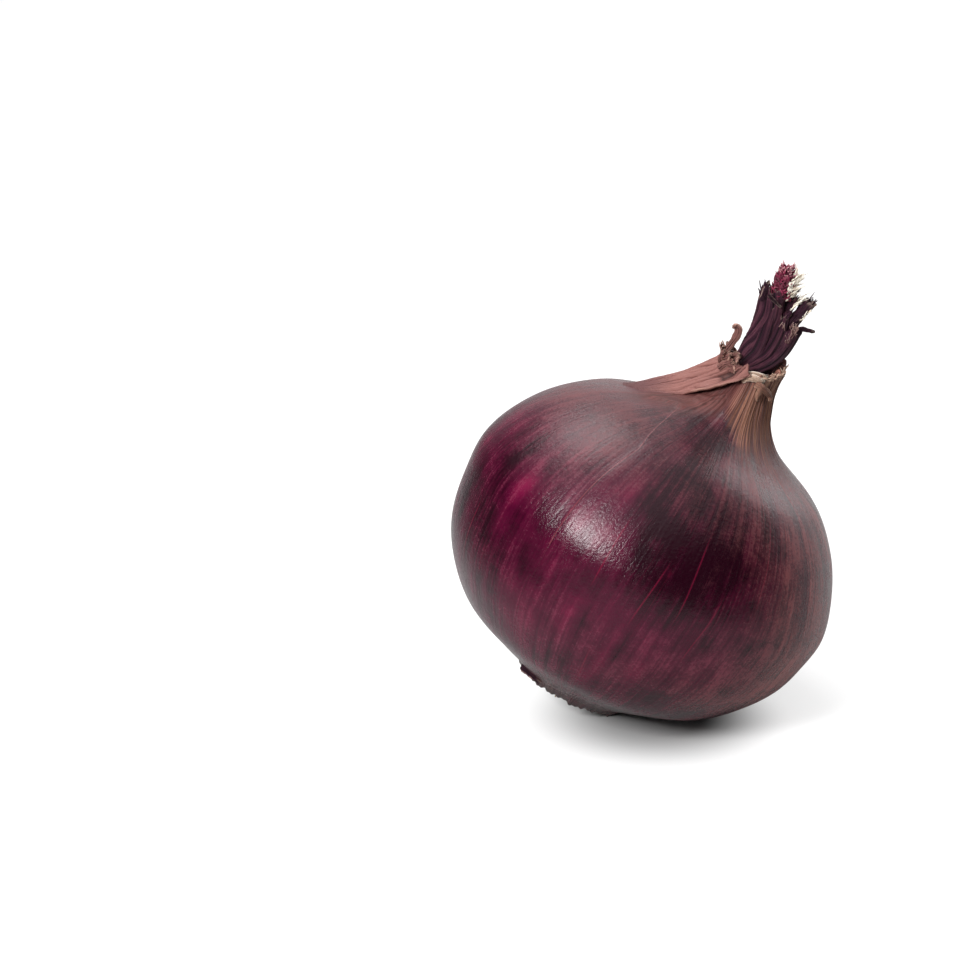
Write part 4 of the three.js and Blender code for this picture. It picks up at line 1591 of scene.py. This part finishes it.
@dataclass
class Stem:
    """The dried leaf bases that rise from the neck: a foot, a tall stalk, a short lobe, ridges
    that sweep up from the left, a leaf at the back and torn blades."""

    def foot(self) -> bpy.types.Object:
        """Models the foot that fills the neck.

        Returns:
            The new object.
        """
        rim = FORM.rim
        rows = np.array([
            (0, rim - 5.3), (3.4, rim - 5.3), (3.6, rim - 2.5), (3.5, rim - 0.2),
            (3.35, rim + 1), (2.2, rim + 2.6), (0, rim + 3.4),
        ])

        def shape(along: Array, across: Array) -> Array:
            """Turns the ribbed foot round the neck.

            Args:
                along: The shares along the piece, from 0 to 1.
                across: The shares across or round it, from 0 to 1.

            Returns:
                One point for each place, in millimetres.
            """
            line = curve_through(rows, along)
            r, s, angle = np.maximum(line[:, 0], 0), line[:, 1], across * TURN
            r = np.where((along <= 0) | (along >= 1), 0, r)
            ribs = np.cos(9 * angle + 0.5 * (s - rim)) + 0.5 * np.cos(23 * angle)
            return FORM.place(s, angle, r * (0.96 + 0.035 * ribs))

        def marks(along: Array, across: Array) -> dict[str, Array]:
            """Marks the fibres and the painted shade between the ribs.

            Args:
                along: The shares along the piece, from 0 to 1.
                across: The shares across or round it, from 0 to 1.

            Returns:
                The values of each vertex attribute, by its name.
            """
            angle = across * TURN
            ribs = np.cos(9 * angle) + 0.5 * np.cos(23 * angle)
            grain = np.stack([np.cos(angle), np.sin(angle), along], -1)
            return {"grain": grain, "reach": along, "ridge": -0.3 + 0.2 * ribs}

        return loft("stem_foot", 40, 96, shape, marks)

    def leaves(self) -> list[bpy.types.Object]:
        """Models the stalk, the lobe and the ridges that sweep up from the left.

        Returns:
            The new objects.
        """
        tall = ((17.7, 0.1, 68), (18.1, 0.2, 71.4), (19.6, 0.2, 74.8), (20.9, 0.1, 79),
                (21.4, 0, 82.3), (21.7, 0, 84.6))
        lobe = ((19.2, -0.6, 67.6), (20.3, -0.7, 70.3), (22.5, -0.8, 73), (24.3, -0.6, 75.6),
                (25.1, -0.5, 77))
        first = ((16.6, -1.4, 67.4), (15.9, -2.0, 69.5), (17.0, -2.3, 70.9), (18.6, -2.2, 72.6),
                 (19.7, -2.0, 75), (20.7, -1.7, 78), (21.7, -1.4, 81.2))
        second = ((16.9, -1.8, 67.2), (16.4, -2.4, 69.3), (18.2, -2.7, 70.6), (20.4, -2.6, 72.2),
                  (22.0, -2.3, 74.6), (23.1, -1.9, 77), (23.8, -1.5, 79.3))
        third = ((17.4, -2.0, 66.8), (17.2, -2.8, 68.8), (19.0, -3.0, 69.7), (21.2, -2.7, 71),
                 (23.2, -2.1, 72.9), (24.6, -1.6, 75), (25.5, -1.3, 77))
        stalks = [
            Stalk(tall, 2.7, -0.15, 0.45, flutes=7),
            Stalk(lobe, 1.95, 0.4, 0.4, 0.85, 6),
            Stalk(first, 0.85, 0.35, 0.3, 0.8, 4, -0.8, 0.3, 80, 60),
            Stalk(second, 0.8, 0.35, 0.3, 0.8, 4, -0.8, 0.3, 80, 60),
            Stalk(third, 0.85, 0.45, 0.35, 0.8, 4, -0.8, 0.3, 80, 60),
            Stalk(((23.2, 0.4, 78.6), (24.2, 0.3, 80.6), (25.4, 0.3, 82.9)), 1.3, 0, 0.3, 0.6, 4,
                  0.3, 0.5, 40, 48),
            Stalk(((22.0, 0.2, 76), (23.6, -0.2, 78), (24.9, -0.4, 79.4)), 1.5, 0, 0.4, 0.8, 4,
                  0.3, 0.5, 40, 48),
        ]
        return [stalk.build(f"leaf_base_{i}", i + 1) for i, stalk in enumerate(stalks)]

    def blades(self) -> list[bpy.types.Object]:
        """Models the leaf at the back, the prongs and the wisp.

        Returns:
            The new objects.
        """
        steep = (0.6, 0.2, -0.8)
        strips = [
            Strip(((18.5, 1.6, 67.6), (19.7, 2.3, 71), (21.6, 2.5, 75.5), (23.1, 2.2, 79.6)),
                  (1, 0.1, -0.3), 3.4, 0.7, 0.9, 0.9, ribs=5, rows=40, columns=20),
            Strip(((23.6, -0.9, 76.3), (24.8, -0.8, 77.7), (26.5, -0.6, 79.6), (28.7, -0.4, 82.1)),
                  steep, 2.5, 0.85, 0.8, 0.5, 0.3, frayed=0.9, rows=36, columns=18),
            Strip(((24.8, -1.5, 74.4), (25.9, -1.5, 75.6), (27.0, -1.3, 76.9), (28.2, -1.1, 76.6),
                   (29.3, -1.0, 76.4)), steep, 1.7, 0.15, 0.4, 0.3, 0.6, frayed=0.5, rows=36),
            Strip(((24.6, -1.4, 75), (25.4, -1.3, 76.8), (26.4, -1.1, 78.7)),
                  steep, 1.6, 0.5, 0.5, 0.3, 0.4, frayed=0.9),
            Strip(((22.6, 1.4, 78.2), (24, 1.5, 81.2), (26, 1.4, 84)),
                  steep, 1.5, 0.6, 0.6, 0.3, 0.4, frayed=0.9),
            Strip(((19.4, -1.3, 82.6), (19.9, -1.4, 84.6), (20.4, -1.2, 86.1)),
                  (1, 0.3, 0), 1.3, 0.35, 0.4, 0.3, 0.3, frayed=0.5),
            Strip(((20.4, -2.9, 84.1), (21.3, -3.0, 83.1), (22.7, -2.8, 81.7)),
                  (0.6, 0, 0.8), 0.6, 0.5, 0.25, 0.1, 0.3, frayed=0.4),
        ]
        return [strip.build(f"blade_{i}", 40 + i) for i, strip in enumerate(strips)]

    def shreds(self) -> bpy.types.Object:
        """Models the thin dark shreds on the stalks' torn ends and along their ridges.

        Returns:
            The new object.
        """
        random = np.random.default_rng(7)
        strands = Strands(5, 6)
        ends = (
            ((20.0, -0.8, 84.4), (-0.2, 0, 1), 1.6, 18),
            ((22.0, -1.6, 81.6), (0.3, -0.2, 1), 1.2, 16),
            ((23.9, -1.6, 79.2), (0.6, -0.2, 0.9), 1.1, 14),
            ((25.4, -1.4, 77.2), (0.6, -0.1, 0.8), 1.0, 16),
            ((28.3, -0.4, 81.6), (0.7, 0, 0.7), 0.9, 16),
            ((25.2, 0.3, 82.4), (0.6, 0.1, 0.9), 1.2, 14),
        )
        for base, way, spread, count in ends:
            for _ in range(count):
                start = np.array(base) + (random.random(3) - 0.5) * spread * 1.4
                end = start + unit(np.array(way)) * (0.8 + 1.3 * random.random())
                end = end + (random.random(3) - 0.5) * 0.8
                path = bent(random, start, end, 0.3)
                strands.add(path, 0.08 + 0.14 * random.random(), 0.4, 0.5, 0.5)
        return strands.build("dark_shreds")

    def build(self, leaf: bpy.types.Material) -> bpy.types.Object:
        """Models the stem.

        Args:
            leaf: The dark leaf finish.

        Returns:
            The piece, which stands for the CAD stem.
        """
        pieces = [self.foot(), *self.leaves(), *self.blades(), self.shreds()]
        return hand_over(join("stem_leaves", pieces), Slot.STEM, leaf, "stem")

    def build_peel(self, finish: bpy.types.Material) -> bpy.types.Object:
        """Models the tan fibres that peel off the lobe.

        Args:
            finish: The finish of peeled skin.

        Returns:
            The new object.
        """
        random = np.random.default_rng(9)
        strands = Strands(5, 6)
        tufts = (((25.3, -2.8, 76.7), 30), ((24.6, -3.2, 75.3), 10), ((23.1, -3.4, 77.6), 5))
        for place, count in tufts:
            for _ in range(count):
                start = np.array(place) + (random.random(3) - 0.5) * [1.3, 0.5, 1.8]
                way = np.array([0.5 - 0.7 * random.random(), -0.25, 1.0 - 0.5 * random.random()])
                end = start + unit(way) * (0.5 + 1.3 * random.random())
                path = bent(random, start, end, 0.4)
                strands.add(path, 0.05 + 0.09 * random.random(), 0.4, 0.5, random.random())
        return hand_over(strands.build("stem_peel"), Slot.DRY, finish)


@dataclass
class StemHeart:
    """The bright torn heart of the stem, its pale clump and the cream shards beside it."""

    base: Point = (22.6, -0.2, 81.8)
    tip: Point = (24.4, 0.0, 89.2)
    radius: float = 2.25
    shreds: int = 230
    shards: int = 190
    seed: int = 11

    def spot(self, share: float, angle: float, out: float) -> Array:
        """Returns a point round the heart's axis.

        Args:
            share: Its place along the axis, from 0 at the base to 1 at the tip.
            angle: Its angle round the axis, in radians, from the right towards the back.
            out: Its distance from the axis, in millimetres.

        Returns:
            The point.
        """
        axis = np.array(self.tip) - self.base
        lift, back = unit(axis), np.array([0.0, 1, 0])
        right = unit(np.cross(back, lift))
        swing = right * math.cos(angle) + back * math.sin(angle)
        return np.array(self.base) + axis * share + swing * out

    def core(self) -> bpy.types.Object:
        """Models the lumpy core that the shreds stand on.

        Returns:
            The new object.
        """

        def shape(along: Array, across: Array) -> Array:
            """Swells the lumpy core round its axis.

            Args:
                along: The shares along the piece, from 0 to 1.
                across: The shares across or round it, from 0 to 1.

            Returns:
                One point for each place, in millimetres.
            """
            angle = across * TURN
            lumps = 0.12 * np.sin(5 * angle + 9 * along) + 0.1 * np.sin(9 * angle - 13 * along)
            r = self.radius * 0.86 * np.sin(math.pi * np.clip(along, 0, 1)) ** 0.4
            r = r * (1 - 0.35 * along) * (1 + lumps)
            return np.stack([self.spot(u * 0.95, a, o) for u, a, o in zip(along, angle, r)])

        def marks(along: Array, across: Array) -> dict[str, Array]:
            """Marks the tones that the strands have too.

            Args:
                along: The shares along the piece, from 0 to 1.
                across: The shares across or round it, from 0 to 1.

            Returns:
                The values of each vertex attribute, by its name.
            """
            return {"tone": 0.1 + 0.5 * along, "reach": 0 * along}

        return loft("heart_core", 40, 60, shape, marks)

    def build_heart(self, finish: bpy.types.Material) -> bpy.types.Object:
        """Models the magenta shreds on their core.

        Args:
            finish: The magenta finish.

        Returns:
            The piece, which stands for the CAD heart.
        """
        random = np.random.default_rng(self.seed)
        strands = Strands(5, 6)
        for i in range(self.shreds):
            angle = i * GOLDEN
            share = 0.1 + 0.84 * random.random() ** 0.8
            bulge = self.radius * (1 - 0.25 * share)
            bulge *= math.sqrt(1 - max(0, share - 0.55) ** 2 * 4.5)
            reach = 0.05 + 0.14 * random.random()
            turn = 1.4 * (random.random() - 0.5)
            middle, end = 0.95 + 0.1 * random.random(), 0.85 + 0.45 * random.random()
            path = [
                self.spot(share, angle, bulge * 0.6),
                self.spot(share + 0.5 * reach, angle + 0.5 * turn, bulge * middle),
                self.spot(share + reach, angle + turn, bulge * end),
            ]
            pale = 0.25 + 0.75 * share if math.cos(angle) > -0.3 or share > 0.6 else 0.3
            strands.add(path, 0.12 + 0.2 * random.random(), 0.3, 0.45, random.random(), pale)
        piece = join("heart_shreds", [strands.build("shreds"), self.core()])
        return hand_over(piece, Slot.HEART, finish, "stem_heart")

    def build_shards(self, finish: bpy.types.Material) -> bpy.types.Object:
        """Models the cream shards, the pale clump and the blades' cream edges.

        Args:
            finish: The cream finish.

        Returns:
            The new object.
        """
        random = np.random.default_rng(self.seed + 1)
        strands = Strands(5, 7)
        for _ in range(self.shards):
            start = self.spot(0.1 + 0.6 * random.random(), 1.8 * (random.random() - 0.5), 1.7)
            rise = math.radians(8 + 78 * random.random())
            long = 1.2 + 2.6 * random.random() ** 1.5
            way = np.array([math.cos(rise), 0.5 * (random.random() - 0.5), math.sin(rise)])
            end = start + way * long
            path = bent(random, start, end, 0.5)
            strands.add(path, 0.045 + 0.075 * random.random(), 0.3, 0.5, random.random())
        for i in range(34):
            start = self.spot(0.3 + 0.008 * i, -1.1 + 0.5 * random.random(), 1.6)
            end = start + np.array([0.7, -0.4, 0.7]) * random.random(3) + [0, 0, 0.4]
            strands.add([start, (start + end) / 2 - [0, 0.3, 0], end], 0.15, 0.6, 0.7, 0.7)
        edges = (
            ((24.7, -1.3, 80.6), (26.7, -1.3, 82.2), (28.4, -1.1, 83.5)),
            ((26.4, -1.3, 78.4), (28.1, -1.2, 80.0), (29.4, -1.1, 81.2)),
            ((25.3, 0.2, 80.9), (27.0, 0.4, 82.6), (28.9, 0.5, 84.0)),
        )
        for path in edges:
            for _ in range(14):
                share = 0.6 * random.random()
                stops = curve_through(path, share + np.array([0.0, 0.2, 0.4]))
                stops = stops + (random.random((3, 3)) - 0.5) * [[0.4], [0.7], [1.3]]
                strands.add(stops, 0.05 + 0.1 * random.random(), 0.3, 0.5, random.random())
        return hand_over(strands.build("cream_shards"), Slot.HEART, finish)


@dataclass
class RootPlate:
    """The corky root plate with its mat of short dry roots."""

    edge: float = 8.05
    depth: float = 1.85
    roots: int = 120
    floor: float = 0.35
    seed: int = 5

    def build_plate(self, finish: bpy.types.Material) -> bpy.types.Object:
        """Models the corky dome.

        Args:
            finish: The cork.

        Returns:
            The piece, which stands for the CAD root plate.
        """
        e, d = self.edge, self.depth
        rows = [(0, d), (e - 0.3, d - 0.3), (e, 0.6), (e - 1.2, -0.2), (e / 2, -0.6), (0, -0.7)]

        def shape(along: Array, across: Array) -> Array:
            """Domes the lumpy plate in its recess.

            Args:
                along: The shares along the piece, from 0 to 1.
                across: The shares across or round it, from 0 to 1.

            Returns:
                One point for each place, in millimetres.
            """
            line = curve_through(rows, along)
            angle = across * TURN
            r = np.where((along <= 0) | (along >= 1), 0, np.clip(line[:, 0], 0, e))
            lumps = 0.12 * np.sin(11 * angle + 2 * r) * np.sin(1.7 * r + 3 * np.sin(2 * angle))
            placed = FORM.place(line[:, 1] + lumps * smooth(r, 0.5, 3), angle, r)
            placed[:, 2] = np.maximum(placed[:, 2], self.floor)
            return placed

        piece = loft("root_cork", 48, 96, shape)
        return hand_over(piece, Slot.ROOTS, finish, "root_plate")

    def build_roots(self, finish: bpy.types.Material) -> bpy.types.Object:
        """Models the dry root stubs.

        Args:
            finish: The finish of dry roots.

        Returns:
            The new object.
        """
        random = np.random.default_rng(self.seed)
        strands = Strands(6, 7)
        for i in range(self.roots):
            angle = i * GOLDEN
            r = (self.edge - 0.7) * math.sqrt((i + 0.6) / self.roots)
            bend = random.random() - 0.5
            length = 1.0 + 2.4 * random.random() ** 1.5
            stops = (
                (0.4, 0, r * 0.96),
                (-0.8, 0.12 * bend, r + 0.2),
                (-0.8 - length / 2, 0.3 * bend, r + 0.5),
                (-0.9 - length, 0.7 * bend, r + 0.5 - 1.2 * random.random()),
            )
            path = np.array([
                FORM.place(np.array(s), angle + turn, min(out, self.edge + 0.3))
                for s, turn, out in stops
            ])
            path[:, 2] = np.maximum(path[:, 2], self.floor + 0.35)
            radius = 0.2 + 0.22 * random.random()
            strands.add(path, radius, 0.45, 0.8, random.random())
        return hand_over(strands.build("root_stubs"), Slot.ROOTS, finish)


# The stage


@dataclass(frozen=True)
class PhotoCamera:
    """The camera at the photograph's angle, set by where the bulb's middle is in the frame."""

    elevation: float = 18.0
    distance: float = 0.525
    lens: float = 100.0
    sensor: float = 36.0
    frame_size: float = 960.0
    bulb_pixel: tuple[float, float] = (642.0, 548.0)
    bulb_middle: Point = (-0.0025, 0.0, 0.0321)

    def build(self) -> None:
        """Adds the camera and makes it the scene's own."""
        tilt = math.radians(self.elevation)
        ahead = Vector((0, math.cos(tilt), -math.sin(tilt)))
        up = Vector((0, math.sin(tilt), math.cos(tilt)))
        per_pixel = self.distance * self.sensor / self.lens / self.frame_size
        aside = (self.bulb_pixel[0] - self.frame_size / 2) * per_pixel
        above = (self.frame_size / 2 - self.bulb_pixel[1]) * per_pixel
        data = bpy.data.cameras.new("photo_camera")
        data.lens, data.sensor_width = self.lens, self.sensor
        data.clip_start = 0.01
        camera = add_object("photo_camera", data)
        place = Vector(self.bulb_middle) - ahead * self.distance
        camera.location = place - Vector((1, 0, 0)) * aside - up * above
        camera.rotation_euler = (math.pi / 2 - tilt, 0, 0)
        bpy.context.scene.camera = camera


@dataclass(frozen=True)
class Softbox:
    """A square soft light that faces the onion, by direction, distance, size and radiance."""

    name: str
    turn: float
    height: float
    distance: float
    width: float
    tall: float
    radiance: float

    def build(self, aim: Point) -> None:
        """Adds the light.

        Args:
            aim: The point that it faces, in metres.
        """
        data = bpy.data.lights.new(self.name, "AREA")
        data.shape = "RECTANGLE"
        data.size, data.size_y = self.width, self.tall
        data.energy = self.radiance * math.pi * self.width * self.tall
        light = add_object(self.name, data)
        turn, height = math.radians(self.turn), math.radians(self.height)
        way = Vector((
            math.sin(turn) * math.cos(height), -math.cos(turn) * math.cos(height), math.sin(height),
        ))
        light.location = Vector(aim) + way * self.distance
        light.rotation_euler = way.to_track_quat("Z", "Y").to_euler()


@dataclass
class Studio:
    """The pale table, the soft lights and the bright surroundings.

    The floor's and the tent's sides each hold where a fade starts and ends: in metres on the
    floor, and as a part of the direction in the tent. Dim, bright and shown are radiances.
    """

    aim: Point = (0.0, 0.0, 0.035)
    table: float = 6.0
    pale: Colour = (0.38, 0.38, 0.38)
    open_side: Colour = (0.05, 0.05, 0.05)
    bounce: Colour = (0.38, 0.38, 0.38)
    # The painted shadow's middle, and the table's painted glow round it: where it starts and ends,
    # in metres, and its strengths there.
    shade_middle: Point = (0.0, -0.009, 0.0)
    lit: tuple[float, float, float, float] = (0.009, 0.028, 0.0, 0.64)
    floor_front: tuple[float, float] = (-0.3, -0.12)
    floor_left: Point = (-0.3, -0.04, 0.1)
    tent_front: tuple[float, float] = (-0.15, 0.5)
    tent_left: tuple[float, float] = (-0.7, 0.3)
    tent_top: tuple[float, float] = (0.52, 0.8)
    dim: float = 0.04
    bright: float = 1.15
    shown: float = 1.1
    boxes: tuple[Softbox, ...] = (
        Softbox("overhead_softbox", -150, 68, 0.7, 0.38, 0.38, 5.5),
        Softbox("front_softbox", -36.5, 33.0, 0.75, 0.15, 0.22, 62.0),
        Softbox("front_fill", -34, 33, 0.8, 0.4, 0.48, 3.5),
        Softbox("back_softbox", 131, 26, 0.7, 0.28, 0.3, 2.6),
    )

    def build(self) -> None:
        """Adds the table, the lights and the world."""
        bpy.ops.object.select_all(action="DESELECT")
        bpy.ops.mesh.primitive_plane_add(size=self.table)
        floor = bpy.context.active_object
        floor.name = "pale_table"
        s = Shader("pale_table")
        here, seen = s.place(), s.seen()
        # Painted light: for the camera the table glows, not at all within 9 mm of the shade's
        # middle and fully from 28 mm on, which paints a shadow round the onion's foot over its real
        # one.
        away = s.vector("LENGTH", s.vector("SUBTRACT", here, self.shade_middle).outputs[0])
        lit = s.times(s.grade(away.outputs["Value"], *self.lit), seen)
        s.surface(Emission_Color=(1, 1, 1), Emission_Strength=lit)
        # The onion is lit by a ground that is dark in front and to its left.
        parts = s.split(here)
        near = s.grade(parts["Y"], *self.floor_front)
        near = s.times(near, s.grade(parts["X"], *self.floor_left))
        unseen = s.mix(near, self.open_side, self.bounce)
        s.surface(Base_Color=s.mix(seen, unseen, self.pale), Roughness=0.6)
        floor.data.materials.append(s.surface(Specular_IOR_Level=0.2))
        for box in self.boxes:
            box.build(self.aim)
        self._surroundings()

    def _surroundings(self) -> None:
        """Makes a bright tent that is open and dark towards the camera and the left."""
        world = bpy.data.worlds.new("studio")
        world.use_nodes = True
        bpy.context.scene.world = world
        s = Nodes(world.node_tree)
        way = s.split(s.node("ShaderNodeTexCoord").outputs["Generated"])
        back, right = s.grade(way["Y"], *self.tent_front), s.grade(way["X"], *self.tent_left)
        back_right = s.times(back, right)
        sky = s.math("MAXIMUM", back_right, s.grade(way["Z"], *self.tent_top))
        level = s.node("ShaderNodeMapRange", {0: sky, 3: self.dim, 4: self.bright}).outputs[0]
        shown = s.node("ShaderNodeMix", {0: s.seen(), 2: level, 3: self.shown}).outputs[0]
        ground = s.tree.nodes["Background"].inputs
        s.feed(ground["Color"], (1, 1, 1))
        s.feed(ground["Strength"], shown)


def set_view() -> None:
    """Shows colours as they are, so that white stays white."""
    view = bpy.context.scene.view_settings
    view.view_transform = "Standard"
    view.look = "None"
    view.exposure = 0.0


def main() -> None:
    """Builds the onion, its stage and its camera in order."""
    logging.basicConfig(level=logging.INFO, format="%(message)s")
    PhotoCamera().build()
    Studio().build()
    set_view()
    Bulb().build(GlossySkin().build())
    tears = NeckTears()
    tears.build_strips(BAND.build(), CORNER.build())
    tears.build_fibres(FIBRES.build())
    dark_leaf = DarkLeaf().build()
    tears.build_flap(dark_leaf)
    LooseSkin().build(DrySkin().build())
    stem = Stem()
    stem.build(dark_leaf)
    stem.build_peel(PEEL.build())
    heart = StemHeart()
    heart.build_heart(MAGENTA.build())
    heart.build_shards(CREAM.build())
    plate = RootPlate()
    plate.build_plate(Cork().build())
    plate.build_roots(DRY_ROOT.build())
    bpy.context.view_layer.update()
    log.info("sizes written")


if __name__ == "__main__":
    main()
